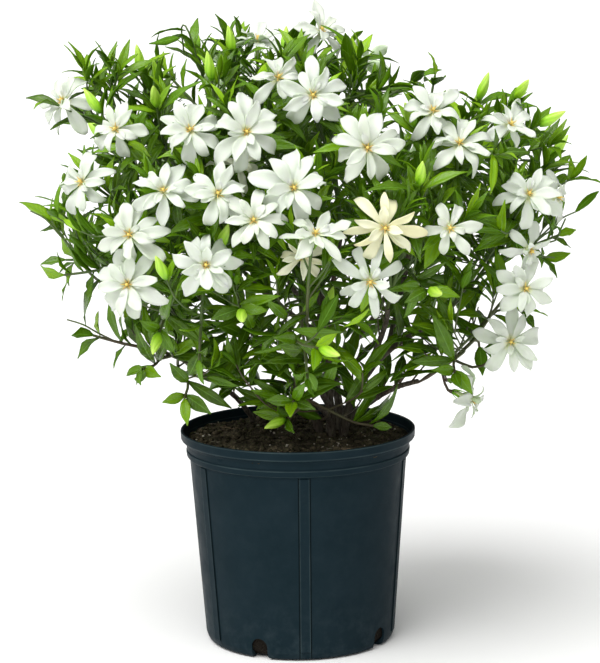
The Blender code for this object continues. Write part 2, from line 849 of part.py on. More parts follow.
def plan_woody(room):
    """Paths and radii of each woody stem, and the end and direction that each spray grows on from."""
    stems, seats = {}, {}
    for name, stem in WOODY_STEMS.items():
        spots = [Vector(p) * MM for p in stem["path"]]
        main = [spots[0], *smooth_path(spots[1:], WOODY_POINTS)]
        thick, thin = (r * MM for r in stem["radii"])
        tubes = [(main, [thick, *taper(thick, thin, WOODY_POINTS)])]
        for spray, (share, further) in stem["branches"].items():
            path = main
            if further:
                start, _ = along_path(main, share)
                path = smooth_path([start, *(Vector(p) * MM for p in further)], BRANCH_POINTS)
                root = BRANCH_TAPER * (thick + (thin - thick) * share)
                tubes.append((path, taper(root, SPRAY_RADIUS, BRANCH_POINTS)))
            seats[spray] = (path[-1], (path[-1] - path[-2]).normalized())
        stems[name] = tubes
        for path, radii in tubes:
            points, faces = tube_solid(path, radii, 6)
            if room.hits(points, faces, skip=("soil", name)):
                print(f"{name} crosses something")
            room.add(points, faces, name)
    return stems, seats


# Sprays


def place_twig(room, shoot, ends, ways, own):
    """A twig's points between two ends. It bows aside until it crosses nothing."""
    rng = random.Random(shoot)
    radii = [TWIG_RADIUS + CLEARANCE] * TWIG_POINTS
    for attempt in range(200):
        swing = Vector((rng.gauss(0, 1), rng.gauss(0, 1), rng.gauss(0, 1))) * (0.5 * MM * attempt)
        points = arch(ends[0], ways[0], ends[1], ways[1], TWIG_POINTS, swing)
        if not room.hits(*tube_solid(points, radii), skip=own):
            return points
    print(f"{shoot} has no way clear")
    return None


def place_leaves(room, shoot, path, whorls):
    """Leaves in whorls along a twig. One that would cross something is tried ten times, then left out."""
    leaves = []
    for number, (share, count, spread, scale) in enumerate(whorls):
        place, way = along_path(path, share)
        right, up = across(way)
        rng = random.Random(f"{shoot} node {number}")
        turn = rng.uniform(0, 2 * math.pi)
        whorl = f"{shoot} whorl {number}"
        for k in range(count):
            for attempt in range(10):
                angle = turn + 2 * math.pi * k / count + rng.uniform(-0.25, 0.25) * (1 + 0.3 * attempt)
                tilt = math.radians(spread + rng.uniform(-10, 10) * (1 + 0.3 * attempt))
                out = right * math.cos(angle) + up * math.sin(angle)
                length = LEAF_LENGTH * scale * rng.uniform(0.85, 1.15) * (1 - 0.03 * attempt)
                form = blade(
                    place - way * (1 * MM),
                    way * math.cos(tilt) + out * math.sin(tilt),
                    way * math.sin(tilt) - out * math.cos(tilt) + LIGHT,
                    (length, length * LEAF_SLENDER * rng.uniform(0.9, 1.15)),
                    rng.uniform(*LEAF_BEND),
                    math.radians(rng.uniform(*LEAF_FOLD_DEG)),
                    leaf_outline,
                )
                if not room.hits(*leaf_solid(form, CLEARANCE), skip=(shoot, whorl)):
                    leaves.append(form)
                    room.add(*leaf_solid(form), whorl)
                    break
    return leaves


def place_buds(room, shoot, path, count):
    """Pointed buds at the end of a twig. Where there are more than one they lean apart."""
    buds = []
    way = (path[-1] - path[-2]).normalized()
    right, up = across(way)
    for k in range(count):
        lean = (right * math.cos(2.4 * k) + up * math.sin(2.4 * k)) * (0.45 if count > 1 else 0)
        grow = (way + lean).normalized()
        points = [path[-1] - way * (1 * MM) + grow * BUD_LENGTH * share for share, _ in BUD_PROFILE]
        radii = [BUD_RADIUS * width for _, width in BUD_PROFILE]
        if not room.hits(*tube_solid(points, [r + CLEARANCE for r in radii], 6), skip=(shoot,)):
            buds.append((points, radii))
            room.add(*tube_solid(points, radii, 6), f"{shoot} bud")
    return buds


def shoots_of(spray, blooms, seat):
    """What a spray's twigs end in, as (name, end, direction, buds or "bloom"), the furthest first."""
    shoots = [(bloom["name"], stalk_of(bloom)[1], bloom["look"], "bloom") for bloom in blooms]
    for number, (place, facing, buds) in enumerate(TIPS[spray]):
        shoots.append((f"{spray} tip {number + 1}", Vector(place) * MM, heading(*facing), buds))
    return sorted(shoots, key=lambda shoot: -(shoot[1] - seat).length)


def place_sprays(room, seats, blooms):
    """Twigs, buds and leaves of each spray, whose first twig goes on from the woody stem."""
    sprays = {}
    for spray, (seat, way) in seats.items():
        shoots = shoots_of(spray, blooms.get(spray, []), seat)
        leader = shoots[0][0]
        twigs = []
        for number, (shoot, end, arrive, kind) in enumerate(shoots):
            if shoot == leader:
                first, thick = [seat + way * SEAT_GAP], SPRAY_RADIUS
                start, leave = seat + way * (SEAT_GAP + SPRAY_STRAIGHT), way
                own = (f"{shoot} stalk",)
            else:
                first, thick = [], TWIG_RADIUS * 1.15
                start, along = along_path(twigs[0][1], FORK_FROM + FORK_STEP * number)
                leave = (along + (end - start).normalized() * 1.4).normalized()
                own = (f"{shoot} stalk", leader)
            points = place_twig(room, shoot, (start, end), (leave, arrive), own)
            if not points:
                continue
            points = first + points
            radii = taper(thick, TWIG_RADIUS, len(points))
            if kind == "bloom":
                points.append(end + arrive * CALYX_LENGTH)
                radii.append(CALYX_RADIUS)
            room.add(*tube_solid(points, radii), shoot)
            twigs.append((shoot, points, radii, kind))
        sprays[spray] = {"twigs": twigs, "leaves": [], "buds": []}
    for made in sprays.values():
        for shoot, points, _, kind in made["twigs"]:
            if kind != "bloom":
                made["buds"] += place_buds(room, shoot, points, kind)
    for made in sprays.values():
        for shoot, points, _, kind in made["twigs"]:
            whorls = BLOOM_WHORLS if kind == "bloom" else TIP_WHORLS
            made["leaves"] += place_leaves(room, shoot, points, whorls)
    return sprays


# Assembly


def build_woody(name, tubes, collection):
    path, radii = tubes[0]
    made = object_of(name, tube_mesh(path, radii, 6), collection, material(name, *FINISHES["bark"]))
    branches = new_collection(f"{name} branches", collection)
    for path, radii in tubes[1:]:
        object_of("branch", tube_mesh(path, radii, 4), branches, made.data.materials[0])
    combine(made, "UNION", branches)


def build_spray(name, parts, collection):
    finish = material(name, *FINISHES["leaf"])
    (_, path, radii, _), *twigs = parts["twigs"]
    made = object_of(name, tube_mesh(path, radii, 4), collection, finish)
    growth = new_collection(f"{name} growth", collection)
    for _, points, radii, _ in twigs:
        object_of("twig", tube_mesh(points, radii, 4), growth, finish)
    for points, radii in parts["buds"]:
        object_of("bud", tube_mesh(points, radii, 4), growth, finish)
    for form in parts["leaves"]:
        object_of("leaf", mesh_from("leaf", *leaf_solid(form)), growth, finish)
    combine(made, "UNION", growth, "MANIFOLD")


def main():
    clear_scene()
    gardenia = new_collection("potted_gardenia", bpy.context.scene.collection)
    cutters = new_collection("cutters", bpy.context.scene.collection)
    pot = build_pot(gardenia, cutters)
    soil = build_soil(gardenia, cutters)
    room = Room()
    for piece in (pot, soil):
        spots = [v.co.copy() for v in piece.data.vertices]
        room.add(spots, [tuple(p.vertices) for p in piece.data.polygons], piece.name)
    blooms = place_blooms(room)
    stems, seats = plan_woody(room)
    sprays = place_sprays(room, seats, blooms)
    for name, tubes in stems.items():
        build_woody(f"woody_stem_{name}", tubes, gardenia)
    for name, parts in sprays.items():
        build_spray(f"leafy_spray_{name}", parts, gardenia)
    for bloom in sum(blooms.values(), []):
        mesh = mesh_from(bloom["name"], *bloom_solid(bloom))
        finish = FINISHES["aged_petal" if bloom["name"] in AGED_BLOOMS else "petal"]
        object_of(bloom["name"], mesh, gardenia, material(bloom["name"], *finish))
    leaves = sum(len(parts["leaves"]) for parts in sprays.values())
    buds = sum(len(parts["buds"]) for parts in sprays.values())
    print(f"{sum(map(len, blooms.values()))} blooms, {buds} buds, {leaves} leaves")


main()
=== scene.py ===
# Potted gardenia: the looks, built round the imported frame.
# The shrub's shoots are laid out by the same rules as its solids, then given fine leaves and petals.
import math
import random

import bmesh
import bpy
import numpy as np
from mathutils import Matrix, Vector, noise
from mathutils.bvhtree import BVHTree


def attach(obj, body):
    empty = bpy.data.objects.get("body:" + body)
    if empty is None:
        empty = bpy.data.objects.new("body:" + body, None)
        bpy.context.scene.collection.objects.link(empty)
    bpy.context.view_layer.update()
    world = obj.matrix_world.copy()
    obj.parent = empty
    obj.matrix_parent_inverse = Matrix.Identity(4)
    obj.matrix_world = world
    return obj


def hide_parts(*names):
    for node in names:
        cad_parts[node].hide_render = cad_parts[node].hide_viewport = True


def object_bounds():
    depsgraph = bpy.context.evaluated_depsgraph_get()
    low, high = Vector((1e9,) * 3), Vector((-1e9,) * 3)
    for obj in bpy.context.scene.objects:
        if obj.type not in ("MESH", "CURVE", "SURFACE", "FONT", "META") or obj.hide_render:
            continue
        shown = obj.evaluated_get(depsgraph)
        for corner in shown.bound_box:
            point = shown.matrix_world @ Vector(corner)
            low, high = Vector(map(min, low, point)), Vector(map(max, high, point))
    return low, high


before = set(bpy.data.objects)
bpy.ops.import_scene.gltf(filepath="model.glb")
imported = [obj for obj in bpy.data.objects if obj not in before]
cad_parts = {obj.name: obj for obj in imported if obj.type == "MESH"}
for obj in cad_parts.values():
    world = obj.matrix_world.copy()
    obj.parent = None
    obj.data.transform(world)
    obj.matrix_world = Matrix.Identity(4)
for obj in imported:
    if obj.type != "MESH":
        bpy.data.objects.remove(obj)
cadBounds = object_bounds()
mm = 0.001
print("frame loaded:", len(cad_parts), "nodes")


studio = {
    "cameraPlace": (0.0035, -2.248, 0.696),
    "cameraTilt": 9.72,  # degrees below level
    "cameraRoll": -0.764,
    "lens": 124.4,
    "floorSize": 60,
    "floorDrop": 0.5 * mm,
    "floorColour": (0.93, 0.93, 0.92),
    "skyColour": (1.0, 1.0, 1.0),
    "skyFrom": (-0.45, -0.45, 0.77),  # where the sky is brightest
    "skyStrength": (0.13, 1.12),  # away from there, and there
    "skyReach": 0.0,  # how far round the bright part reaches, -1 for all the sky
    "keyTurn": (32, -4, -26),  # degrees
    "keySoftness": 48,
    "keyPower": 2.6,
    "fillTurn": (50, 0, 42),
    "fillSoftness": 60,
    "fillPower": 0.25,
}


def setCamera(s):
    lens = bpy.data.cameras.new("camera")
    lens.lens = s["lens"]
    lens.sensor_width = 36
    camera = bpy.data.objects.new("camera", lens)
    tilt = Matrix.Rotation(math.pi / 2 - math.radians(s["cameraTilt"]), 4, "X")
    roll = Matrix.Rotation(math.radians(s["cameraRoll"]), 4, "Z")
    camera.matrix_world = Matrix.Translation(s["cameraPlace"]) @ tilt @ roll
    bpy.context.scene.collection.objects.link(camera)
    bpy.context.scene.camera = camera


def setFloor(s):
    form = bmesh.new()
    bmesh.ops.create_grid(form, x_segments=1, y_segments=1, size=s["floorSize"] / 2)
    mesh = bpy.data.meshes.new("floor")
    form.to_mesh(mesh)
    form.free()
    floor = bpy.data.objects.new("floor", mesh)
    floor.location.z = -s["floorDrop"]
    bpy.context.scene.collection.objects.link(floor)
    pale = bpy.data.materials.new("pale floor")
    pale.use_nodes = True
    shader = pale.node_tree.nodes["Principled BSDF"]
    shader.inputs["Base Color"].default_value = (*s["floorColour"], 1)
    shader.inputs["Roughness"].default_value = 0.9
    shader.inputs["Specular IOR Level"].default_value = 0.1
    mesh.materials.append(pale)


def setSky(s):
    world = bpy.data.worlds.new("studio")
    world.use_nodes = True
    sky = world.node_tree.nodes["Background"]
    sky.inputs["Color"].default_value = (*s["skyColour"], 1)
    add, join = world.node_tree.nodes.new, world.node_tree.links.new
    kinds = ("TexCoord", "VectorMath", "MapRange")
    way, towards, power = (add("ShaderNode" + kind) for kind in kinds)
    towards.operation = "DOT_PRODUCT"
    towards.inputs[1].default_value = Vector(s["skyFrom"]).normalized()
    power.inputs["From Min"].default_value = s["skyReach"]
    power.inputs["To Min"].default_value, power.inputs["To Max"].default_value = s["skyStrength"]
    join(way.outputs["Generated"], towards.inputs[0])
    join(towards.outputs["Value"], power.inputs["Value"])
    join(power.outputs["Result"], sky.inputs["Strength"])
    bpy.context.scene.world = world


def setLights(s):
    for name in ("key", "fill"):
        lamp = bpy.data.lights.new(name, "SUN")
        lamp.energy = s[name + "Power"]
        lamp.angle = math.radians(s[name + "Softness"])
        light = bpy.data.objects.new(name, lamp)
        light.rotation_euler = [math.radians(a) for a in s[name + "Turn"]]
        bpy.context.scene.collection.objects.link(light)
    bpy.context.scene.view_settings.view_transform = "Standard"


setCamera(studio)
setFloor(studio)
setSky(studio)
setLights(studio)
print("studio set")


class Finish:
    # a Principled material, with short ways to add nodes to it
    def __init__(self, name, **sockets):
        self.material = bpy.data.materials.new(name)
        self.material.use_nodes = True
        self.tree = self.material.node_tree
        self.shader = self.tree.nodes["Principled BSDF"]
        for socket, value in sockets.items():
            self.set(socket.replace("_", " "), value)

    def set(self, socket, value):
        self.join(value, self.shader.inputs[socket])

    def join(self, value, socket):
        if isinstance(value, bpy.types.NodeSocket):
            self.tree.links.new(value, socket)
        elif isinstance(value, tuple) and len(value) == 3 and socket.type == "RGBA":
            socket.default_value = (*value, 1)
        else:
            socket.default_value = value

    def node(self, kind, out, inputs, **settings):
        made = self.tree.nodes.new("ShaderNode" + kind)
        for key, value in settings.items():
            setattr(made, key, value)
        for key, value in inputs.items():
            self.join(value, made.inputs[key])
        return made.outputs[out]

    def here(self):  # place on the object, in metres
        return self.node("TexCoord", "Object", {})

    def across(self):  # 0 on a blade's rib, 1 on its edges
        side = self.node("SeparateXYZ", "X", {0: self.node("UVMap", "UV", {}, uv_map="blade")})
        return self.calc("ABSOLUTE", self.calc("MULTIPLY_ADD", side, 2, -1))

    def along(self):  # 0 at a blade's root, 1 at its tip
        return self.node("SeparateXYZ", "Y", {0: self.node("UVMap", "UV", {}, uv_map="blade")})

    def own(self, name):
        return self.node("Attribute", "Fac", {}, attribute_name=name)

    def calc(self, operation, *values):
        return self.node("Math", "Value", dict(enumerate(values)), operation=operation)

    def grain(self, scale, detail=3, rough=0.5, where=None, **more):
        inputs = {"Scale": scale, "Detail": detail, "Roughness": rough, "Vector": where or self.here()}
        return self.node("TexNoise", "Fac", {**inputs, **more})

    def cells(self, scale, out="Distance", feature="F1", where=None):
        inputs = {"Scale": scale, "Vector": where or self.here()}
        return self.node("TexVoronoi", out, inputs, feature=feature)

    def ramp(self, factor, *stops):
        made = self.tree.nodes.new("ShaderNodeValToRGB")
        self.join(factor, made.inputs["Fac"])
        bar = made.color_ramp.elements
        while len(bar) < len(stops):
            bar.new(0.5)
        for element, (place, colour) in zip(bar, stops):
            element.position = place
            element.color = (*colour, 1) if isinstance(colour, tuple) else (colour, colour, colour, 1)
        return made.outputs["Color"]

    def span(self, value, low, high, first=0.0, last=1.0):
        inputs = {"Value": value, "From Min": low, "From Max": high, "To Min": first, "To Max": last}
        return self.node("MapRange", "Result", inputs)

    def mix(self, factor, a, b, blend="MIX"):
        made = self.tree.nodes.new("ShaderNodeMix")
        made.data_type = "RGBA"
        made.blend_type = blend
        for key, value in (("Factor", factor), ("A", a), ("B", b)):
            sockets = [s for s in made.inputs if s.name == key and s.enabled]
            self.join(value, sockets[0])
        return [s for s in made.outputs if s.enabled][0]

    def bump(self, height, strength, distance, under=None):
        inputs = {"Height": height, "Strength": strength, "Distance": distance}
        if under:
            inputs["Normal"] = under
        return self.node("Bump", "Normal", inputs)


def heading(yawDeg, pitchDeg):  # yaw 0 looks along -Y, 90 towards +X
    yaw, pitch = math.radians(yawDeg), math.radians(pitchDeg)
    level = math.cos(pitch)
    return Vector((math.sin(yaw) * level, -math.cos(yaw) * level, math.sin(pitch)))


def squareTo(direction):  # two ways square to it and to each other
    helper = Vector((0, 0, 1)) if abs(direction.z) < 0.9 else Vector((1, 0, 0))
    first = direction.cross(helper).normalized()
    return first, direction.cross(first).normalized()


def spoke(right, up, turn):
    return right * math.cos(turn) + up * math.sin(turn)


def leaned(along, face, angle):  # both turned by the angle, the first towards the second
    cos, sin = math.cos(angle), math.sin(angle)
    return along * cos + face * sin, face * cos - along * sin


def leafOutline(u):
    return math.sin(math.pi * min(1, u) ** 0.85) ** 1.1


def petalOutline(u):
    if u < 0.68:
        return 0.30 + 0.70 * math.sin(math.pi / 2 * u / 0.68) ** 1.6
    return math.sqrt(max(0, 1 - ((u - 0.68) / 0.33) ** 2))


def bladeOf(root, along, face, size, bend, fold, outline):
    along = along.normalized()
    face = (face - along * face.dot(along)).normalized()
    return {
        "root": root,
        "along": along,
        "face": face,
        "side": along.cross(face),
        "length": size[0],
        "width": size[1],
        "bend": bend,
        "fold": fold,
        "outline": outline,
    }


def bladeNormal(form, u):
    angle = form["bend"] * u
    return form["face"] * math.cos(angle) + form["along"] * math.sin(angle)


def bladePoint(form, u, v):
    angle = form["bend"] * u
    radius = form["length"] / form["bend"]
    half = v * form["width"] / 2 * form["outline"](u)
    reach, drop = radius * math.sin(angle), radius * (1 - math.cos(angle))
    spine = form["root"] + form["along"] * reach - form["face"] * drop
    lift = bladeNormal(form, u) * (abs(half) * math.sin(form["fold"]))
    return spine + form["side"] * (half * math.cos(form["fold"])) + lift


def leafBody(form, grow=0.0):  # the plain solid that stands for a leaf when room is sought
    points = [bladePoint(form, 0, 0)]
    for u in leaf["stations"]:
        keel = bladeNormal(form, u) * (leaf["solidThick"] + grow)
        edge = 1 + 2 * grow / form["width"]
        points += [bladePoint(form, u, edge), bladePoint(form, u, -edge)]
        points.append(bladePoint(form, u, 0) - keel)
    points.append(bladePoint(form, 1, 0) + form["along"] * grow)
    tip = len(points) - 1
    faces = [(0, 1 + k, 1 + (k + 1) % 3) for k in range(3)]
    for k in range(3):
        a, b, c, d = 1 + k, 1 + (k + 1) % 3, 4 + (k + 1) % 3, 4 + k
        faces += [(a, d, c), (a, c, b)] if k != 2 else [(a, d, b), (d, c, b)]
    faces += [(tip, tip - 3 + (k + 1) % 3, tip - 3 + k) for k in range(3)]
    return points, faces


def tubeBody(points, radii, sides=4):
    spots, faces = [], []
    for k, (place, radius) in enumerate(zip(points, radii)):
        way = (points[min(k + 1, len(points) - 1)] - points[max(k - 1, 0)]).normalized()
        right, up = squareTo(way)
        for s in range(sides):
            turn = 2 * math.pi * s / sides
            spots.append(place + spoke(right, up, turn) * radius)
    for k in range(len(points) - 1):
        for s in range(sides):
            a, b = k * sides + s, k * sides + (s + 1) % sides
            faces += [(a, b, b + sides), (a, b + sides, a + sides)]
    faces += [tuple(range(sides)), tuple(range(len(spots) - sides, len(spots)))]
    return spots, faces


class Room:
    # the pieces placed so far, each with its box and its search tree
    def __init__(self, most=9000):
        self.low, self.high = np.empty((most, 3)), np.empty((most, 3))
        self.trees, self.tags = [], []

    def add(self, points, faces, tag):
        spots = np.array(points)
        self.low[len(self.tags)], self.high[len(self.tags)] = spots.min(0), spots.max(0)
        self.trees.append(BVHTree.FromPolygons(points, faces))
        self.tags.append(tag)

    def hits(self, points, faces, skip=()):
        spots = np.array(points)
        count = len(self.tags)
        near = (self.low[:count] <= spots.max(0)) & (self.high[:count] >= spots.min(0))
        tree = None
        for k in np.flatnonzero(near.all(1)):
            if self.tags[k] in skip:
                continue
            tree = tree or BVHTree.FromPolygons(points, faces)
            if tree.overlap(self.trees[k]):
                return True
        return False


def smoothPath(points, count):
    ends = [points[0] * 2 - points[1], *points, points[-1] * 2 - points[-2]]
    spans = len(points) - 1
    made = []
    for k in range(count):
        place = k / (count - 1) * spans
        span = min(int(place), spans - 1)
        t = place - span
        a, b, c, d = ends[span : span + 4]
        bend, twist = 2 * a - 5 * b + 4 * c - d, 3 * b - a - 3 * c + d
        made.append(0.5 * (2 * b + (c - a) * t + bend * t**2 + twist * t**3))
    return made


def archPath(start, leave, end, arrive, count, swing):
    span = (end - start).length
    near = start + leave * (span * 0.36) + swing
    far = end - arrive * (span * 0.34) + swing * 0.6
    made = []
    for k in range(count):
        t = k / (count - 1)
        s = 1 - t
        made.append(start * s**3 + near * (3 * s * s * t) + far * (3 * s * t * t) + end * t**3)
    return made


def alongPath(points, share):
    lengths = [(b - a).length for a, b in zip(points, points[1:])]
    left = share * sum(lengths)
    for a, b, span in zip(points, points[1:], lengths):
        if left <= span or b is points[-1]:
            return a.lerp(b, min(1.0, left / span)), (b - a).normalized()
        left -= span


def taper(first, last, count):
    return [first + (last - first) * k / (count - 1) for k in range(count)]


def addPiece(made, node):
    bpy.context.scene.collection.objects.link(made)
    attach(made, "root")
    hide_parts(node)
    return made


def meshOf(name, points, faces, *finishes, values=None):
    mesh = bpy.data.meshes.new(name)
    mesh.from_pydata([tuple(p) for p in points], [], [tuple(f) for f in faces])
    for finish in finishes:
        mesh.materials.append(finish)
    for key, numbers in (values or {}).items():
        mesh.attributes.new(key, "FLOAT", "POINT").data.foreach_set("value", np.ravel(numbers))
    mesh.shade_smooth()
    return mesh


def meshPiece(name, node, points, faces, finish, **values):
    mesh = meshOf(name, points, faces, finish, values=values)
    return addPiece(bpy.data.objects.new(name, mesh), node)


def stemPiece(name, node, tubes, finish, roundness):
    curve = bpy.data.curves.new(name, "CURVE")
    curve.dimensions = "3D"
    curve.bevel_depth = 1.0
    curve.bevel_resolution = roundness
    curve.use_fill_caps = True
    for points, radii in tubes:
        spline = curve.splines.new("POLY")
        spline.use_smooth = True
        spline.points.add(len(points) - 1)
        for spot, place, radius in zip(spline.points, points, radii):
            spot.co = (*place, 1.0)
            spot.radius = radius
    curve.materials.append(finish)
    return addPiece(bpy.data.objects.new(name, curve), node)


# Woody stems, in mm: the points of the main stem from its foot up, its radii at foot and end, and side
# branches, each leaving at a share of the main stem's length for its own points.
woodyStems = {
    "right": {
        "path": [
            (46, 2, 165), (46, 1, 208), (53, 0, 238),
            (72, -5, 272), (101, -10, 300), (132, -15, 318),
        ],
        "radii": (5.2, 2.6),
        "branches": {
            "right_arm": (1.0, []),
            "right_front": (0.50, [(84, -45, 315), (88, -75, 345)]),
            "right_low": (0.28, [(85, -14, 250), (120, -24, 264)]),
            "right_top": (0.72, [(104, -10, 350), (112, -22, 395)]),
        },
    },
    "centre": {
        "path": [(33, -3, 165), (33, -4, 210), (31, -10, 260), (24, -18, 330), (14, -20, 402)],
        "radii": (5.0, 2.4),
        "branches": {
            "top": (1.0, []),
            "centre": (0.30, [(22, -45, 262), (14, -80, 300)]),
            "low_front": (0.22, [(28, -22, 232), (20, -38, 243)]),
            "upper_left": (0.62, [(2, -38, 352), (-22, -58, 400)]),
            "top_right": (0.70, [(38, -38, 372), (44, -52, 415)]),
        },
    },
    "left": {
        "path": [
            (22, 12, 165), (21, 12, 207), (6, 10, 245),
            (-30, 4, 285), (-66, -8, 322), (-95, -16, 350),
        ],
        "radii": (4.6, 2.4),
        "branches": {
            "left_arm": (1.0, []),
            "front_left": (0.52, [(-40, -35, 312), (-50, -72, 345)]),
            "left_top": (0.66, [(-58, 8, 360), (-78, 16, 412)]),
        },
    },
    "low_left": {
        "path": [(-46, 62, 165), (-46, 61, 206), (-58, 42, 232), (-80, 16, 256), (-106, -6, 280)],
        "radii": (3.0, 2.0),
        "branches": {"low_left": (1.0, [])},
    },
    "back": {
        "path": [(44, 28, 165), (44, 29, 208), (38, 46, 262), (28, 70, 330), (18, 84, 398)],
        "radii": (4.6, 2.4),
        "branches": {
            "back_top": (1.0, []),
            "back_right": (0.45, [(70, 66, 300), (98, 78, 345)]),
            "back_left": (0.55, [(-10, 74, 320), (-52, 84, 358)]),
        },
    },
}

# Blooms, in mm and degrees: centre of the face, where it looks (yaw right of the front, pitch up), reach
# of its outer petals, petals in a tier, tiers.
bloomPlan = {
    "left_arm": [
        ((-195, -132, 476), (-38, 22), 29, 5, 2),
        ((-149, -188, 434), (-12, 10), 31, 6, 2),
        ((-152, -184, 388), (-14, 8), 33, 6, 2),
    ],
    "front_left": [
        ((-68, -218, 473), (5, 20), 30, 5, 2),
        ((-36, -232, 450), (0, 28), 28, 5, 2),
        ((-80, -222, 410), (5, 12), 33, 6, 2),
        ((-51, -160, 494), (12, 30), 26, 6, 1),
    ],
    "left_top": [
        ((-221, -30, 544), (-35, 25), 31, 5, 2),
        ((-164, -130, 524), (-10, 22), 27, 5, 2),
    ],
    "upper_left": [
        ((-93, -179, 526), (0, 30), 31, 6, 2),
        ((-117, -198, 474), (-5, 25), 30, 5, 2),
    ],
    "top": [
        ((-34, 20, 596), (10, 78), 28, 5, 2),
        ((-14, -146, 570), (20, 34), 25, 5, 2),
        ((-42, -196, 526), (4, 14), 35, 6, 2),
    ],
    "top_right": [
        ((28, -2, 606), (22, 46), 28, 5, 2),
        ((18, -170, 556), (2, 14), 33, 5, 2),
        ((66, -202, 511), (0, 10), 34, 6, 2),
    ],
    "centre": [
        ((0, -226, 478), (0, 18), 35, 6, 2),
        ((18, -242, 438), (12, 44), 29, 5, 2),
        ((5, -216, 416), (-4, 8), 27, 5, 2),
    ],
    "right_front": [
        ((80, -226, 442), (4, 6), 35, 6, 2),
        ((67, -222, 394), (-2, -4), 35, 8, 1),
        ((139, -202, 438), (6, 10), 26, 6, 1),
    ],
    "right_top": [
        ((128, -146, 538), (4, 34), 29, 5, 2),
        ((152, -160, 514), (2, 46), 30, 5, 2),
        ((203, -97, 520), (22, 42), 27, 5, 2),
    ],
    "right_arm": [
        ((217, -132, 459), (10, 28), 31, 5, 2),
        ((252, -40, 446), (58, 10), 25, 6, 1),
        ((219, -120, 407), (30, -18), 25, 6, 1),
    ],
    "right_low": [
        ((214, -120, 370), (12, 5), 31, 5, 2),
        ((204, -92, 314), (8, 8), 33, 5, 2),
        ((168, -66, 254), (72, -20), 31, 6, 1),
    ],
    "back_top": [((-70, 168, 556), (190, 35), 31, 5, 2), ((74, 150, 568), (165, 40), 30, 5, 2)],
    "back_right": [((120, 192, 466), (150, 20), 33, 5, 2), ((222, 98, 416), (115, 18), 30, 5, 2)],
    "back_left": [((-122, 186, 458), (212, 18), 32, 5, 2)],
}

# Leafy tips, in mm and degrees: end of the shoot (x, y, z), where it grows (yaw, pitch), buds on it.
tipPlan = {
    "low_left": [
        ((-198, -48, 318), (-84, 24), 0),
        ((-150, -70, 288), (-60, 5), 0),
        ((-108, -96, 264), (-35, -18), 0),
        ((-160, 30, 314), (-115, 15), 0),
    ],
    "left_arm": [
        ((-238, -22, 428), (-82, 24), 0),
        ((-222, -70, 381), (-70, 5), 0),
        ((-128, -150, 336), (-25, 0), 1),
    ],
    "front_left": [
        ((-50, -196, 364), (-5, 25), 1),
        ((-90, -168, 314), (-20, -12), 0),
    ],
    "left_top": [
        ((-196, 0, 562), (-65, 62), 0),
        ((-148, 4, 570), (-60, 80), 1),
        ((-128, -96, 544), (-20, 70), 1),
    ],
    "upper_left": [
        ((-92, -20, 592), (-50, 82), 2),
        ((-76, -96, 568), (0, 78), 1),
    ],
    "top": [
        ((-58, -18, 588), (20, 62), 1),
        ((-10, -60, 584), (-40, 70), 0),
    ],
    "top_right": [
        ((66, -22, 586), (40, 60), 0),
        ((92, -60, 556), (30, 55), 0),
        ((8, 60, 586), (170, 70), 0),
    ],
    "centre": [
        ((22, -206, 330), (4, 60), 1),
        ((10, -172, 296), (-5, -20), 0),
    ],
    "low_front": [
        ((-13, -66, 236), (-12, 25), 1),
        ((74, -56, 226), (55, 12), 0),
        ((-4, -110, 262), (-10, 10), 0),
    ],
    "right_front": [
        ((112, -200, 478), (0, 60), 1),
        ((122, -192, 380), (15, 35), 1),
    ],
    "right_top": [
        ((180, -22, 541), (30, 68), 1),
        ((212, -60, 544), (50, 50), 2),
        ((140, 20, 562), (60, 70), 0),
    ],
    "right_arm": [
        ((252, -10, 482), (70, 40), 1),
        ((256, -32, 408), (75, 20), 0),
        ((252, 40, 376), (100, 10), 0),
    ],
    "right_low": [
        ((186, -20, 292), (60, 0), 0),
        ((150, -110, 288), (25, -18), 0),
        ((222, -62, 340), (60, -30), 0),
    ],
    "back_top": [
        ((-8, 150, 582), (180, 68), 1),
        ((-130, 90, 566), (235, 60), 0),
        ((130, 100, 556), (130, 60), 0),
        ((58, 88, 590), (150, 75), 0),
        ((-64, 78, 596), (210, 76), 0),
    ],
    "back_right": [
        ((196, 120, 478), (125, 40), 0),
        ((168, 120, 322), (125, 0), 0),
        ((60, 200, 392), (165, 20), 1),
        ((232, 62, 384), (105, 10), 0),
    ],
    "back_left": [
        ((-196, 110, 496), (235, 50), 1),
        ((-150, 140, 346), (220, 5), 0),
        ((-30, 214, 416), (185, 25), 0),
        ((-232, 44, 380), (262, 10), 0),
    ],
}


seatGap = 0.3 * mm  # between any two touching pieces
clearance = 0.6 * mm  # air kept round each new leaf, twig or bloom
stem = {
    "sprayRadius": 2.3 * mm,
    "sprayStraight": 5 * mm,
    "twigRadius": 1.3 * mm,
    "forkFrom": 0.06,
    "forkStep": 0.09,
    "stalkLength": 12 * mm,
    "branchTaper": 0.8,
    "woodyPoints": 6,
    "branchPoints": 4,
    "twigPoints": 4,
    "twigTries": 200,
    "twigSwing": 0.5 * mm,  # further off the straight way with each try
}
leaf = {
    "length": 54 * mm,
    "slender": 0.27,
    "solidThick": 1.1 * mm,
    "bend": (0.25, 0.95),
    "foldDeg": (10, 24),
    "foot": 1 * mm,  # how deep a leaf starts in its twig
    "loose": (0.25, 10, 0.3),  # radians round the twig, degrees off it, and how both grow with each try
    "uneven": ((0.85, 1.15), (0.9, 1.15)),  # lengths and widths
    "tryShrink": 0.03,
    "stations": (0.34, 0.68),
    "light": Vector((0, -0.2, 0.6)),  # how far leaves turn their faces to the light
    "tipWhorls": ((1.0, 1, 12, 0.9), (0.94, 2, 52, 1.0), (0.70, 1, 66, 1.05)),
    "bloomWhorls": ((0.80, 1, 68, 1.0),),
}
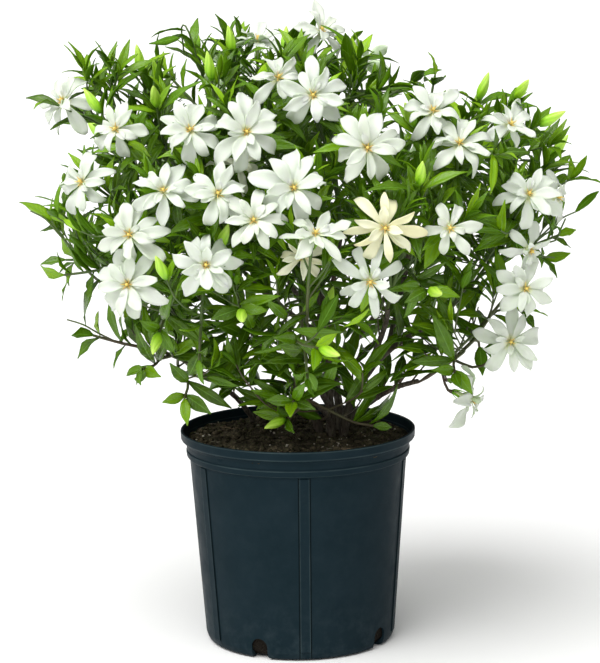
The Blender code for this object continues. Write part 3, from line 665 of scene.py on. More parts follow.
bud = {
    "length": 25 * mm,
    "radius": 4.2 * mm,
    "profile": ((0, 0.35), (0.30, 1.0), (0.62, 0.80), (1, 0.12)),
}
bloom = {
    "calyxLength": 7 * mm,
    "calyxRadius": 2.5 * mm,
    "tubeLength": 17 * mm,
    "tubeRadius": 1.7 * mm,
    "throatRadius": 2.4 * mm,
    "solidThick": 1.5 * mm,
    "slender": 0.50,
    "notch": 0.30,
    "widest": 0.70,
    "foldDeg": (8, 20),
    "foot": (1.5 * mm, 2 * mm),  # where petals start: out from the centre, and up for each tier
    "uneven": ((0.98, 1.08), (0.92, 1.08)),  # lengths and widths
    "tries": 96,
    "stepTries": 8,  # tries before it moves on
    "step": 4 * mm,
    "stepShrink": 0.012,
    "tiers": (
        {"rise": (2, 18), "bend": (0.45, 0.95), "reach": 1.0},
        {"rise": (38, 52), "bend": (0.45, 0.75), "reach": 0.8},
    ),
}


def petalAt(root, out, look, tier, reach, slender, uneven, rng):
    along, face = leaned(out, look, math.radians(rng.uniform(*tier["rise"])))
    length = reach * tier["reach"] * rng.uniform(*uneven[0])
    width = length * slender * rng.uniform(*uneven[1])
    bend = rng.uniform(*tier["bend"])
    fold = math.radians(rng.uniform(*bloom["foldDeg"]))
    return bladeOf(root, along, face, (length, width), bend, fold, petalOutline)


def bloomAt(centre, look, reach, count, tiers, rng):
    right, up = squareTo(look)
    spin = rng.uniform(0, 2 * math.pi)
    slender = bloom["slender"] if tiers > 1 else bloom["slender"] * 5.6 / count
    outward, upward = bloom["foot"]
    petals = []
    for level, tier in enumerate(bloom["tiers"][:tiers]):
        petals.append([])
        for k in range(count):
            turn = spin + 2 * math.pi * (k + 0.5 * level) / count + rng.uniform(-0.07, 0.07)
            out = spoke(right, up, turn)
            root = centre + out * outward + look * (upward * level)
            petals[level].append(petalAt(root, out, look, tier, reach, slender, bloom["uneven"], rng))
    return {"centre": centre, "look": look, "spin": spin, "petals": petals, "reach": reach}


def bloomBody(flower, grow=0.0):
    centre, look = flower["centre"], flower["look"]
    right, up = squareTo(look)
    count = len(flower["petals"][0])
    points, faces = [], []

    def add(spots):
        points.extend(spots)
        return list(range(len(points) - len(spots), len(points)))

    def collar(radius, height):
        turns = [flower["spin"] + 2 * math.pi * (k - 0.5) / count for k in range(count)]
        middle = centre + look * height
        return add([middle + spoke(right, up, turn) * radius for turn in turns])

    def tier(petals, below, above, inner):
        edge = 1 + 2 * grow / petals[0]["width"]
        widest, notch = bloom["widest"], bloom["notch"]
        pairs = zip([petals[-1], *petals], petals)
        notches = add([(bladePoint(a, notch, -1) + bladePoint(b, notch, 1)) / 2 for a, b in pairs])
        near = add([bladePoint(form, widest, edge) for form in petals])
        far = add([bladePoint(form, widest, -edge) for form in petals])
        tips = add([bladePoint(form, 1, 0) + form["along"] * grow for form in petals])
        for ring, side in ((below, -1), (above, 1)):
            depth = side * (bloom["solidThick"] / 2 + grow)
            ribs = add([bladePoint(f, widest, 0) + bladeNormal(f, widest) * depth for f in petals])
            for k in range(count):
                n = (k + 1) % count
                start = ring[n] if inner else ring[k]
                faces.append((ring[k], ring[n], notches[k] if inner else ribs[k]))
                faces.append((start, ribs[k], notches[k]))
                faces.append((ring[n], notches[n], ribs[k]))
                rim = [notches[k], near[k], tips[k], far[k], notches[n]]
                faces.extend((rim[i], rim[i + 1], ribs[k]) for i in range(4))

    foot = collar(bloom["tubeRadius"] + grow, -bloom["tubeLength"])
    ring = collar(bloom["throatRadius"] + grow, -3 * mm)
    faces.append(tuple(foot))
    for k in range(count):
        n = (k + 1) % count
        faces += [(foot[k], foot[n], ring[n]), (foot[k], ring[n], ring[k])]
    for level, petals in enumerate(flower["petals"]):
        above = collar(bloom["throatRadius"] - 0.4 * mm * level, (1.2 + 3 * level) * mm)
        tier(petals, ring, above, level > 0)
        ring = above
    pistil = add([centre + look * ((2 + 4 * len(flower["petals"])) * mm)])[0]
    faces += [(ring[k], ring[(k + 1) % count], pistil) for k in range(count)]
    return points, faces


def stalkOf(flower):
    back = (0, bloom["calyxLength"], bloom["calyxLength"] + stem["stalkLength"])
    reach = bloom["tubeLength"] + seatGap
    return [flower["centre"] - flower["look"] * (reach + length) for length in back]


def placeBlooms(room):
    placed = {}
    for spray, specs in bloomPlan.items():
        placed[spray] = []
        for number, (centre, facing, reach, count, tiers) in enumerate(specs):
            rng = random.Random(f"{spray} bloom {number}")
            look = heading(*facing)
            for attempt in range(bloom["tries"]):  # back and forth along the way it looks
                step = attempt // bloom["stepTries"]
                shift = (step + 1) // 2 * bloom["step"] * (-1 if step % 2 else 1)
                size = reach * mm * (1 - bloom["stepShrink"] * step)
                flower = bloomAt(Vector(centre) * mm + look * shift, look, size, count, tiers, rng)
                stalk = tubeBody(stalkOf(flower), [bloom["calyxRadius"] + clearance] * 3)
                if not room.hits(*bloomBody(flower, clearance)) and not room.hits(*stalk):
                    break
            flower["name"] = f"bloom_{spray}_{number + 1}"
            room.add(*bloomBody(flower), flower["name"])
            room.add(*tubeBody(stalkOf(flower), [bloom["calyxRadius"]] * 3), flower["name"] + " stalk")
            placed[spray].append(flower)
    return placed


def planWoody(room):
    stems, seats = {}, {}
    for name, plan in woodyStems.items():
        spots = [Vector(p) * mm for p in plan["path"]]
        main = [spots[0], *smoothPath(spots[1:], stem["woodyPoints"])]
        thick, thin = (r * mm for r in plan["radii"])
        tubes = [(main, [thick, *taper(thick, thin, stem["woodyPoints"])])]
        for spray, (share, further) in plan["branches"].items():
            path = main
            if further:
                start, _ = alongPath(main, share)
                path = smoothPath([start, *(Vector(p) * mm for p in further)], stem["branchPoints"])
                root = stem["branchTaper"] * (thick + (thin - thick) * share)
                tubes.append((path, taper(root, stem["sprayRadius"], stem["branchPoints"])))
            seats[spray] = (path[-1], (path[-1] - path[-2]).normalized())
        stems[name] = tubes
        for path, radii in tubes:
            room.add(*tubeBody(path, radii, 6), name)
    return stems, seats


def placeTwig(room, shoot, ends, ways, own):
    rng = random.Random(shoot)
    radii = [stem["twigRadius"] + clearance] * stem["twigPoints"]
    for attempt in range(stem["twigTries"]):
        swing = Vector([rng.gauss(0, 1) for _ in range(3)]) * (stem["twigSwing"] * attempt)
        points = archPath(ends[0], ways[0], ends[1], ways[1], stem["twigPoints"], swing)
        if not room.hits(*tubeBody(points, radii), skip=own):
            return points
    return None


def placeLeaves(room, shoot, path, whorls, kind="node", gap=clearance, tries=10, shown=()):
    leaves = []
    around, off, looser = leaf["loose"]
    for number, (share, count, spread, scale) in enumerate(whorls):
        place, way = alongPath(path, share)
        right, up = squareTo(way)
        longer, lift = 1.0, 0.0
        if kind == "more":
            longer = np.interp(place.z, *zip(*foliage["longer"]))
            lift = np.interp(place.z, *zip(*foliage["rise"]))
        rng = random.Random(f"{shoot} {kind} {number}")
        turn = rng.uniform(0, 2 * math.pi)
        whorl = f"{shoot} {kind} whorl {number}"
        for k in range(count):
            for attempt in range(tries):
                loose = 1 + looser * attempt
                angle = turn + 2 * math.pi * k / count + rng.uniform(-around, around) * loose
                tilt = math.radians(spread + rng.uniform(-off, off) * loose)
                grow, away = leaned(way, spoke(right, up, angle), tilt)
                length = leaf["length"] * scale * longer * rng.uniform(*leaf["uneven"][0])
                length *= 1 - leaf["tryShrink"] * attempt
                form = bladeOf(
                    place - way * leaf["foot"],
                    grow + Vector((0, 0, lift)),
                    leaf["light"] - away,
                    (length, length * leaf["slender"] * rng.uniform(*leaf["uneven"][1])),
                    rng.uniform(*leaf["bend"]),
                    math.radians(rng.uniform(*leaf["foldDeg"])),
                    leafOutline,
                )
                tip = bladePoint(form, 1, 0)
                if kind == "more" and not (insideCrown(tip) and clearOf(tip, shown, 0)):
                    continue
                if not room.hits(*leafBody(form, gap), skip=(shoot, whorl)):
                    form["share"] = share
                    leaves.append(form)
                    room.add(*leafBody(form), whorl)
                    break
    return leaves


def placeBuds(room, shoot, path, count):
    buds = []
    way = (path[-1] - path[-2]).normalized()
    right, up = squareTo(way)
    for k in range(count):
        lean = spoke(right, up, 2.4 * k) * (0.45 if count > 1 else 0)
        grow = (way + lean).normalized()
        start = path[-1] - way * (1 * mm)
        points = [start + grow * bud["length"] * share for share, _ in bud["profile"]]
        radii = [bud["radius"] * width for _, width in bud["profile"]]
        if not room.hits(*tubeBody(points, [r + clearance for r in radii], 6), skip=(shoot,)):
            buds.append((start, grow))
            room.add(*tubeBody(points, radii, 6), f"{shoot} bud")
    return buds


def shootsOf(spray, blooms, seat):
    shoots = [(f["name"], stalkOf(f)[1], f["look"], "bloom") for f in blooms]
    for number, (place, facing, buds) in enumerate(tipPlan[spray]):
        shoots.append((f"{spray} tip {number + 1}", Vector(place) * mm, heading(*facing), buds))
    return sorted(shoots, key=lambda shoot: -(shoot[1] - seat).length)


def placeSprays(room, seats, blooms):
    sprays = {}
    for spray, (seat, way) in seats.items():
        shoots = shootsOf(spray, blooms.get(spray, []), seat)
        leader = shoots[0][0]
        twigs = []
        for number, (shoot, end, arrive, kind) in enumerate(shoots):
            if shoot == leader:
                first, thick = [seat + way * seatGap], stem["sprayRadius"]
                start, leave = seat + way * (seatGap + stem["sprayStraight"]), way
                own = (f"{shoot} stalk",)
            else:
                first, thick = [], stem["twigRadius"] * 1.15
                share = stem["forkFrom"] + stem["forkStep"] * number
                start, run = alongPath(twigs[0]["points"], share)
                leave = (run + (end - start).normalized() * 1.4).normalized()
                own = (f"{shoot} stalk", leader)
            points = placeTwig(room, shoot, (start, end), (leave, arrive), own)
            if not points:
                continue
            points = first + points
            radii = taper(thick, stem["twigRadius"], len(points))
            if kind == "bloom":
                points.append(end + arrive * bloom["calyxLength"])
                radii.append(bloom["calyxRadius"])
            room.add(*tubeBody(points, radii), shoot)
            twigs.append({"name": shoot, "points": points, "radii": radii, "kind": kind})
        sprays[spray] = {"twigs": twigs, "leaves": [], "buds": [], "side": [], "low": [], "sprigs": []}
    for made in sprays.values():
        for twig in made["twigs"]:
            if twig["kind"] != "bloom":
                made["buds"] += placeBuds(room, twig["name"], twig["points"], twig["kind"])
    for made in sprays.values():
        for twig in made["twigs"]:
            whorls = leaf["bloomWhorls"] if twig["kind"] == "bloom" else leaf["tipWhorls"]
            made["leaves"] += placeLeaves(room, twig["name"], twig["points"], whorls)
    return sprays


# more whorls on each twig, and side shoots between them
foliage = {
    # whorls as place along the twig, leaves, degrees off the twig, and size
    "tipWhorls": (
        (0.99, 2, 13, 0.55), (0.94, 2, 24, 0.7), (0.88, 2, 30, 0.78), (0.81, 2, 36, 0.8),
        (0.73, 2, 42, 0.8), (0.64, 2, 48, 0.8), (0.54, 2, 54, 0.8), (0.42, 2, 60, 0.8),
    ),
    "bloomWhorls": (
        (0.93, 2, 52, 0.7), (0.88, 3, 56, 0.8), (0.80, 3, 58, 0.8),
        (0.70, 3, 60, 0.8), (0.58, 3, 62, 0.75), (0.44, 2, 66, 0.75),
    ),
    "sideWhorls": ((0.99, 2, 11, 0.52), (0.88, 2, 24, 0.66), (0.70, 2, 34, 0.72), (0.48, 2, 44, 0.72)),
    "lowWhorls": ((0.99, 2, 24, 0.7), (0.80, 2, 46, 0.85), (0.50, 1, 58, 0.9)),
    "sprigsWhorls": (
        (0.99, 2, 12, 0.62), (0.93, 2, 26, 0.78), (0.82, 2, 34, 0.82),
        (0.66, 2, 42, 0.82), (0.46, 2, 50, 0.78),
    ),
    "fillWhorls": ((0.99, 3, 16, 0.52), (0.84, 3, 34, 0.7), (0.62, 3, 46, 0.75), (0.38, 3, 56, 0.75)),
    "sideShares": (0.26, 0.38, 0.50, 0.61, 0.72, 0.83),
    "lowShares": (0.42, 0.58, 0.74, 0.90),
    "fillShares": (0.3, 0.5, 0.7, 0.9),
    "sprigShares": (0.35, 0.5, 0.65, 0.8),
    "lowLength": (30, 60),  # mm
    "sideLength": (24, 50),  # mm
    "sprigLength": 24 * mm,  # at least
    "sideTries": 8,
    "sideRadius": 0.9 * mm,
    "sideTaper": (1.0 * mm, 0.7 * mm),
    "stemPoints": 4,
    "front": Vector((0, -0.98, 0.17)),  # where blooms and buds are seen from
    # share of a bloom's reach kept free along its own way and from the front
    "bloomShown": (0.85, 0.75),
    "budShown": 7 * mm,
    "budAir": 10 * mm,  # room kept clear round a bud
    "leafAir": (15 * mm, 5 * mm),  # past a side shoot's end, and round it
    "leafReach": 20 * mm,
    "fillAir": 12 * mm,
    "outward": 0.45,  # how far side shoots turn outwards
    "upward": (0.45, 1.5),  # and how far up, low in the crown and at its top
    "fillTries": 2600,  # places looked at for shoots where the crown is bare
    "fillBare": 24 * mm,  # with no leaf this near
    "fillHigh": 0.52,
    "fillInside": 15 * mm,
    "fillLength": (22 * mm, 75 * mm),
    "slender": 0.82,  # width over that of the solids' leaves
    # how long these leaves are and how far they point upwards, by height
    "longer": ((0.30, 1.32), (0.40, 1.0)),
    "rise": ((0.29, -0.25), (0.40, 0.30)),
    "gap": 0.2 * mm,  # air round a leaf
    # lowest leaves by distance from the axis, highest ones from left to right, leftmost ones by height
    "lowLine": (
        (0.00, 0.222), (0.08, 0.236), (0.10, 0.255), (0.13, 0.280), (0.16, 0.315),
        (0.19, 0.355), (0.22, 0.40), (0.25, 0.43), (0.28, 0.45),
    ),
    "highLine": (
        (-0.29, 0.50), (-0.27, 0.54), (-0.23, 0.605), (-0.20, 0.615), (-0.15, 0.605), (-0.12, 0.63),
        (-0.05, 0.635), (-0.035, 0.61), (0.0, 0.628), (0.03, 0.63), (0.055, 0.615), (0.09, 0.585),
        (0.15, 0.55), (0.19, 0.555), (0.24, 0.55), (0.265, 0.525), (0.285, 0.50), (0.30, 0.46),
    ),
    "leftLine": (
        (0.345, -0.18), (0.36, -0.235), (0.40, -0.25), (0.42, -0.29), (0.442, -0.29),
        (0.455, -0.22), (0.49, -0.22), (0.51, -0.275), (0.56, -0.28), (0.60, -0.25),
    ),
    "backFall": 0.12,  # how steeply the highest ones fall away to the back
    "airy": (0.48, 0.55),  # above this height, this share of the side shoots is left out
    "over": 9 * mm,  # how far leaves may stand past the solids' box
}


def insideCrown(place):
    low = np.interp(math.hypot(place.x, place.y), *zip(*foliage["lowLine"]))
    high = np.interp(place.x, *zip(*foliage["highLine"]))
    if not low < place.z < high - foliage["backFall"] * max(0, place.y):
        return False
    if place.x < np.interp(place.z, *zip(*foliage["leftLine"])):
        return False
    over = foliage["over"]
    return all(a - over < p < b + over for p, a, b in zip(place, *cadBounds))


def toShow(sprays, flowers):  # what leaves must not hide: places, ways they look, and how wide they are
    front = foliage["front"]
    own, seen = foliage["bloomShown"]
    shown = [(f["centre"], f["look"], f["reach"] * own) for f in flowers]
    shown += [(f["centre"], front, f["reach"] * seen) for f in flowers if f["look"].dot(front) > 0.4]
    for made in sprays.values():
        for start, grow in made["buds"]:
            if start.y < 0:
                places = [start + grow * (bud["length"] * share) for share in (0.3, 0.9)]
                shown += [(place, front, foliage["budShown"]) for place in places]
    return shown


def clearOf(place, shown, margin):
    for centre, look, reach in shown:
        ahead = (place - centre).dot(look)
        if ahead > 0 and (place - centre - look * ahead).length < reach + margin:
            return False
    return True


def sideShoot(room, name, points, owner):  # kept if there is room for it
    count = len(points)
    body = tubeBody(points, [foliage["sideRadius"]] * count)
    if room.hits(*body, skip=(owner,)):
        return None
    room.add(*body, name)
    return {"name": name, "points": points, "radii": taper(*foliage["sideTaper"], count)}


def growSides(room, twig, middle, shown, kind="side"):
    rng = random.Random(f"{twig['name']} {kind}")
    airyFrom, airyShare = foliage["airy"]
    past, air = foliage["leafAir"]
    made = []
    for number, share in enumerate(foliage[kind + "Shares"]):
        start, way = alongPath(twig["points"], share)
        right, up = squareTo(way)
        outward = Vector((start.x - middle.x, start.y - middle.y, (start.z - middle.z) / 2))
        upward = Vector((0, 0, np.interp(start.z, (0.38, 0.54), foliage["upward"])))
        if start.z > airyFrom and rng.random() < airyShare:
            continue
        for _ in range(foliage["sideTries"]):
            lean = spoke(right, up, rng.uniform(0, 2 * math.pi))
            outward.normalize()
            grow = way * 0.6 + lean * 0.7 + outward * foliage["outward"]
            grow = (grow + upward).normalized()
            end = start + grow * (rng.uniform(*foliage[kind + "Length"]) * mm)
            inside = insideCrown(end + grow * foliage["leafReach"])
            if not inside or not clearOf(end + grow * past, shown, air):
                continue
            arrive = (grow + Vector((0, 0, 0.5))).normalized()
            points = archPath(start, grow, end, arrive, foliage["stemPoints"], Vector())
            shoot = sideShoot(room, f"{twig['name']} {kind} {number}", points, twig["name"])
            if shoot:
                made.append(shoot)
                break
    return made


# sprigs off the twigs, in mm and degrees: where each ends (x, y, z), where it grows (yaw, pitch), buds
sprigPlan = [
    ((112, -120, 524), (5, 86), 1),
    ((234, -70, 519), (65, 42), 1),
    ((-96, -130, 487), (20, 76), 1),
    ((-68, -190, 421), (-12, 74), 1),
    ((-117, -200, 396), (-20, 70), 1),
    ((27, -176, 357), (0, 84), 1),
    ((-184, -60, 536), (-60, 70), 1),
    ((-200, -20, 572), (-30, 82), 0),
    ((-166, -40, 572), (60, 62), 0),
    ((-105, -22, 590), (-60, 72), 0),
    ((-60, -24, 592), (60, 62), 0),
    ((-128, -44, 556), (-20, 80), 0),
    ((4, -34, 588), (-30, 78), 0),
    ((54, -36, 580), (0, 80), 0),
    ((162, -60, 526), (-50, 70), 0),
    ((206, -50, 530), (45, 60), 0),
    ((-236, -52, 548), (-78, 30), 0),
    ((-258, -24, 438), (-85, 12), 0),
    ((-222, -60, 336), (-80, 15), 0),
    ((-120, -60, 300), (-45, 10), 0),
    ((140, -70, 300), (40, 20), 0),
    ((250, -30, 496), (70, 50), 0),
    ((270, -22, 462), (80, 30), 0),
    ((262, -44, 426), (75, 10), 0),
    ((280, -10, 430), (90, 20), 0),
    ((262, 4, 474), (95, 40), 0),
    ((250, -60, 390), (70, 5), 0),
    ((262, 20, 410), (100, 15), 0),
    ((236, -20, 456), (60, 60), 0),
    ((236, 30, 500), (100, 50), 0),
]


def placesAlong(sprays, kinds, shares):  # spray, shoot, place and way
    shoots = [(spray, shoot) for spray, made in sprays.items() for kind in kinds for shoot in made[kind]]
    return [
        (spray, shoot["name"], *alongPath(shoot["points"], share))
        for spray, shoot in shoots
        for share in shares
    ]


def growSprigs(room, sprays):
    starts = placesAlong(sprays, ["twigs"], foliage["sprigShares"])
    for number, (place, facing, buds) in enumerate(sprigPlan):
        end, arrive = Vector(place) * mm, heading(*facing)
        foot = end - arrive * (30 * mm)
        near = sorted(starts, key=lambda start: (start[2] - foot).length)
        near = [start for start in near if (start[2] - end).length > foliage["sprigLength"]]
        for spray, owner, start, way in near[:8]:
            name = f"{spray} sprig {number}"
            leave = (way + arrive * 0.5).normalized()
            points = placeTwig(room, name, (start, end), (leave, arrive), (owner,))
            if points:
                radii = taper(foliage["sideRadius"] * 1.1, 0.8 * mm, len(points))
                room.add(*tubeBody(points, radii), name)
                sprays[spray]["sprigs"].append({"name": name, "points": points, "radii": radii})
                sprays[spray]["buds"] += placeBuds(room, name, points, buds)
                break


def fillBare(room, sprays, shown, fit):  # shoots wherever no leaf is near
    rng = random.Random("bare places")
    stems = placesAlong(sprays, ["twigs", "side"], foliage["fillShares"])
    feet = np.array([found[2] for found in stems])
    roots = np.array([form["root"] for made in sprays.values() for form in made["leaves"]])
    shortest, longest = foliage["fillLength"]
    inside = foliage["fillInside"]
    for number in range(foliage["fillTries"]):
        end = Vector([rng.uniform(a + inside, b - inside) for a, b in zip(*cadBounds)])
        if end.z > foliage["fillHigh"] or not insideCrown(end):
            continue
        if not clearOf(end, shown, foliage["fillAir"]):
            continue
        if np.linalg.norm(roots - np.array(end), axis=1).min() < foliage["fillBare"]:
            continue
        foot = end - Vector((0, 0, 25 * mm))
        near = np.linalg.norm(feet - np.array(foot), axis=1)
        for k in np.argsort(near)[:4]:
            spray, owner, start, way = stems[k]
            span = end - start
            if not shortest < span.length < longest:
                continue
            grow = (span.normalized() + way * 0.4).normalized()
            arrive = (span.normalized() + Vector((0, 0, 0.6))).normalized()
            points = archPath(start, grow, end, arrive, foliage["stemPoints"], Vector())
            shoot = sideShoot(room, f"{spray} fill {number}", points, owner)
            if shoot:
                more = placeLeaves(room, shoot["name"], points, foliage["fillWhorls"], **fit)
                sprays[spray]["side"].append(shoot)
                sprays[spray]["leaves"] += more
                roots = np.array([*roots, *(form["root"] for form in more), end])
                break


def fillFoliage(room, woody, sprays, flowers, middle):
    growSprigs(room, sprays)
    shown = toShow(sprays, flowers)
    fit = {"kind": "more", "gap": foliage["gap"], "tries": 5, "shown": shown}
    for made in sprays.values():
        for start, grow in made["buds"]:
            length, air = bud["length"], foliage["budAir"]
            ends = [start + grow * (length * share) for share in (0.35, 1.25)]
            room.add(*tubeBody(ends, [air, air]), "bud air")
    for made in sprays.values():
        for twig in made["twigs"]:
            made["side"] += growSides(room, twig, middle, shown)
    for name, tubes in woody.items():
        spray = next(iter(woodyStems[name]["branches"]))
        for path, _ in tubes:
            sprays[spray]["low"] += growSides(room, {"name": name, "points": path}, middle, shown, "low")
    for made in sprays.values():
        for twig in made["twigs"]:
            whorls = foliage["bloomWhorls" if twig["kind"] == "bloom" else "tipWhorls"]
            made["leaves"] += placeLeaves(room, twig["name"], twig["points"], whorls, **fit)
        for kind in ("sprigs", "side", "low"):
            for shoot in made[kind]:
                more = placeLeaves(room, shoot["name"], shoot["points"], foliage[kind + "Whorls"], **fit)
                made["leaves"] += more
    fillBare(room, sprays, shown, fit)


room = Room()
for name in ("pot", "soil"):
    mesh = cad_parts[name].data
    room.add([v.co.copy() for v in mesh.vertices], [tuple(p.vertices) for p in mesh.polygons], name)
blooms = placeBlooms(room)
woody, seats = planWoody(room)
sprays = placeSprays(room, seats, blooms)
solidLeaves = sum(len(made["leaves"]) for made in sprays.values())
shrubLow, shrubHigh = cadBounds
shrubMiddle = (shrubLow + shrubHigh) / 2
fillFoliage(room, woody, sprays, sum(blooms.values(), []), shrubMiddle)
leafCount = sum(len(made["leaves"]) for made in sprays.values())
print(f"{sum(map(len, blooms.values()))} blooms, {solidLeaves} leaves of the solids, {leafCount} in all")


def bladeSteps(style):  # closer together near the tip
    return np.linspace(0, 1, style["rows"] + 1) ** 0.85


def bladeGrid(forms, style, rng):
    # points of all the blades at once, as an array of blade, row, column and axis
    rows, columns = style["rows"], style["columns"]
    u = bladeSteps(style)[None, :, None]
    v = np.linspace(-1, 1, columns + 1)[None, None, :]
    column = lambda key: np.array([form[key] for form in forms])[:, None, None]
    vector = lambda key: np.array([tuple(form[key]) for form in forms])[:, None, None, :]
    draw = lambda low, high: rng.uniform(low, high, len(forms))[:, None, None]
    length, width, bend, fold = (column(key) for key in ("length", "width", "bend", "fold"))
    shape = style["outline"](u, np.sign(v), draw)
    half = np.maximum(width / 2 * shape, style["least"])
    angle = bend * u
    radius = length / bend
    reach, drop = radius * np.sin(angle), radius * (1 - np.cos(angle))
    side, along, face, root = (vector(key) for key in ("side", "along", "face", "root"))
    normal = face * np.cos(angle)[..., None] + along * np.sin(angle)[..., None]
    out = half * v
    crease = style["crease"] * width
    lift = (np.sqrt(out**2 + crease**2) - crease) * np.sin(fold)
    wave = style["wave"] * width * v**2 * shape
    lift = lift + wave * np.sin(2 * np.pi * draw(*style["waves"]) * u + draw(0, 6.3) + 1.9 * np.sign(v))
    lift = lift - draw(*style["curl"]) * length * np.maximum(0, u - style["curlFrom"]) ** 2
    lift = lift - draw(*style["cup"]) * width * (1 - v**2) * np.sin(np.pi * u)
    sweep = draw(-1, 1) * style["sweep"] * length * u**2
    spine = root + along * reach[..., None] - face * drop[..., None]
    turn = draw(-1, 1) * style["twist"] * u
    flat = out * np.cos(fold)
    wide = flat * np.cos(turn) - lift * np.sin(turn) + sweep
    high = flat * np.sin(turn) + lift * np.cos(turn)
    return spine + side * wide[..., None] + normal * high[..., None]


def bladeMesh(name, forms, style, finishes, values, seed):
    rows, columns = style["rows"], style["columns"]
    points = bladeGrid(forms, style, np.random.default_rng(seed))
    count = (rows + 1) * (columns + 1)
    spots = np.arange(count).reshape(rows + 1, columns + 1)
    quads = np.stack([spots[:-1, :-1], spots[:-1, 1:], spots[1:, 1:], spots[1:, :-1]], -1).reshape(-1, 4)
    faces = (np.arange(len(forms))[:, None, None] * count + quads).reshape(-1, 4)
    values = {key: np.repeat(numbers, count) for key, numbers in values.items()}
    mesh = meshOf(name, points.reshape(-1, 3), faces.tolist(), *finishes, values=values)
    u, v = np.meshgrid(bladeSteps(style), np.linspace(0, 1, columns + 1), indexing="ij")
    spread = np.tile(np.stack([v.ravel(), u.ravel()], 1), (len(forms), 1))
    corners = np.empty(len(mesh.loops), np.int32)
    mesh.loops.foreach_get("vertex_index", corners)
    mesh.uv_layers.new(name="blade").uv.foreach_set("vector", spread[corners].astype(np.float32).ravel())
    return mesh


def bladePiece(name, node, forms, style, finishes, values, seed):
    made = bpy.data.objects.new(name, bladeMesh(name, forms, style, finishes, values, seed))
    body = made.modifiers.new("thickness", "SOLIDIFY")
    body.thickness = style["thick"]
    body.offset = 0
    body.material_offset = 1  # the underside
    body.material_offset_rim = 1
    return addPiece(made, node)


def leafShape(u, side, draw):
    return np.sin(np.pi * u ** draw(0.78, 0.98)) ** draw(0.95, 1.2)


def petalShape(u, side, draw):  # narrow foot, broad shoulders, a cut or blunt point, and never even
    wide = draw(0.58, 0.74) + side * draw(-0.07, 0.07)
    low = 0.22 + 0.78 * np.sin(np.pi / 2 * np.minimum(1, u / wide)) ** 1.35
    past = np.maximum(0, (u - wide) / (1 - wide))
    return np.where(u < wide, low, 1 - (1 - draw(0.02, 0.34)) * past ** draw(1.1, 2.3))


leafStyle = {
    "trim": 0.93,
    "rows": 6,
    "columns": 4,
    "thick": 0.5 * mm,
    "outline": leafShape,
    "twist": 0.35,
    "least": 0.45 * mm,
    "crease": 0.06,
    "wave": 0.10,
    "waves": (1.2, 2.4),
    "curl": (0.0, 0.16),
    "curlFrom": 0.6,
    "cup": (-0.02, 0.06),
    "sweep": 0.07,
    "old": (0.008, 0.028, 0.001),
    "grown": (0.078, 0.196, 0.001),
    "young": (0.290, 0.520, 0.006),
    "olive": (0.075, 0.140, 0.004),
    "rib": (0.150, 0.320, 0.035),
    "back": (0.058, 0.155, 0.002),
    "veins": 8,
    "age": 0.04,  # least youth of a leaf, 1 is the youngest
    "byTwig": 0.6,  # youth towards the twig's end
    "byPlace": 0.45,  # and towards the outside of the crown
    "crownRadius": 0.30,
    "flush": 0.35,  # more youth for this share of the leaves
    "flushShare": 0.2,
    "byBud": (4 * mm, 0.7),  # leaves this near a bud are so much shorter
    "shortest": 0.55,
}


def leafFinish(s, under):
    f = Finish("leaf underside" if under else "leaf", Specular_IOR_Level=0.12 if under else 0.3)
    youth, tint = f.own("youth"), f.own("tint")
    across, along = f.across(), f.along()
    tone = f.ramp(youth, (0.0, s["old"]), (0.45, s["grown"]), (1.0, s["young"]))
    blotch = f.grain(120, 3, 0.6)
    tone = f.mix(f.span(blotch, 0.3, 0.7, 0.0, 0.35), tone, f.mix(0.5, tone, s["young"]))
    tone = f.mix(f.span(tint, 0, 1, 0.0, 0.30), tone, s["olive"])
    if under:
        tone = f.mix(0.55, tone, s["back"])
    rib = f.span(across, 0.03, 0.12, 1.0, 0.0)
    slant = f.calc("MULTIPLY_ADD", across, -1.6, f.calc("MULTIPLY", along, s["veins"]))
    side = f.calc("PINGPONG", slant, 0.5)
    vein = f.calc("MULTIPLY", f.span(side, 0.0, 0.09, 1.0, 0.0), f.span(across, 0.75, 1.0, 1.0, 0.0))
    tone = f.mix(f.calc("MULTIPLY", vein, 0.22), tone, s["rib"])
    tone = f.mix(f.calc("MULTIPLY", rib, 0.6), tone, s["rib"])
    f.set("Base Color", tone)
    puff = f.span(side, 0.0, 0.3, 0.0, 1.0)
    height = f.calc("ADD", f.calc("MULTIPLY", puff, 0.6), f.calc("MULTIPLY", rib, -0.8))
    relief = f.bump(height, 0.35, 0.0006)
    f.set("Normal", f.bump(f.grain(900, 2), 0.15, 0.0002, relief))
    f.set("Roughness", f.span(f.grain(200), 0.3, 0.7, 0.36 if under else 0.14, 0.5 if under else 0.28))
    f.set("Subsurface Weight", 0.12)
    f.set("Subsurface Radius", (0.6, 1.0, 0.15))
    f.set("Subsurface Scale", 0.001)
    return f.material


def fineLength(form, buds):  # shorter beside a bud and above the crown's line
    length = form["length"] * leafStyle["trim"]
    near, shorter = leafStyle["byBud"]
    if any((form["root"] - start).length < near for start, _ in buds):
        length *= shorter
    least = leafStyle["shortest"] * form["length"]
    while length > least and not insideCrown(bladePoint({**form, "length": length}, 1, 0)):
        length *= 0.93
    return length


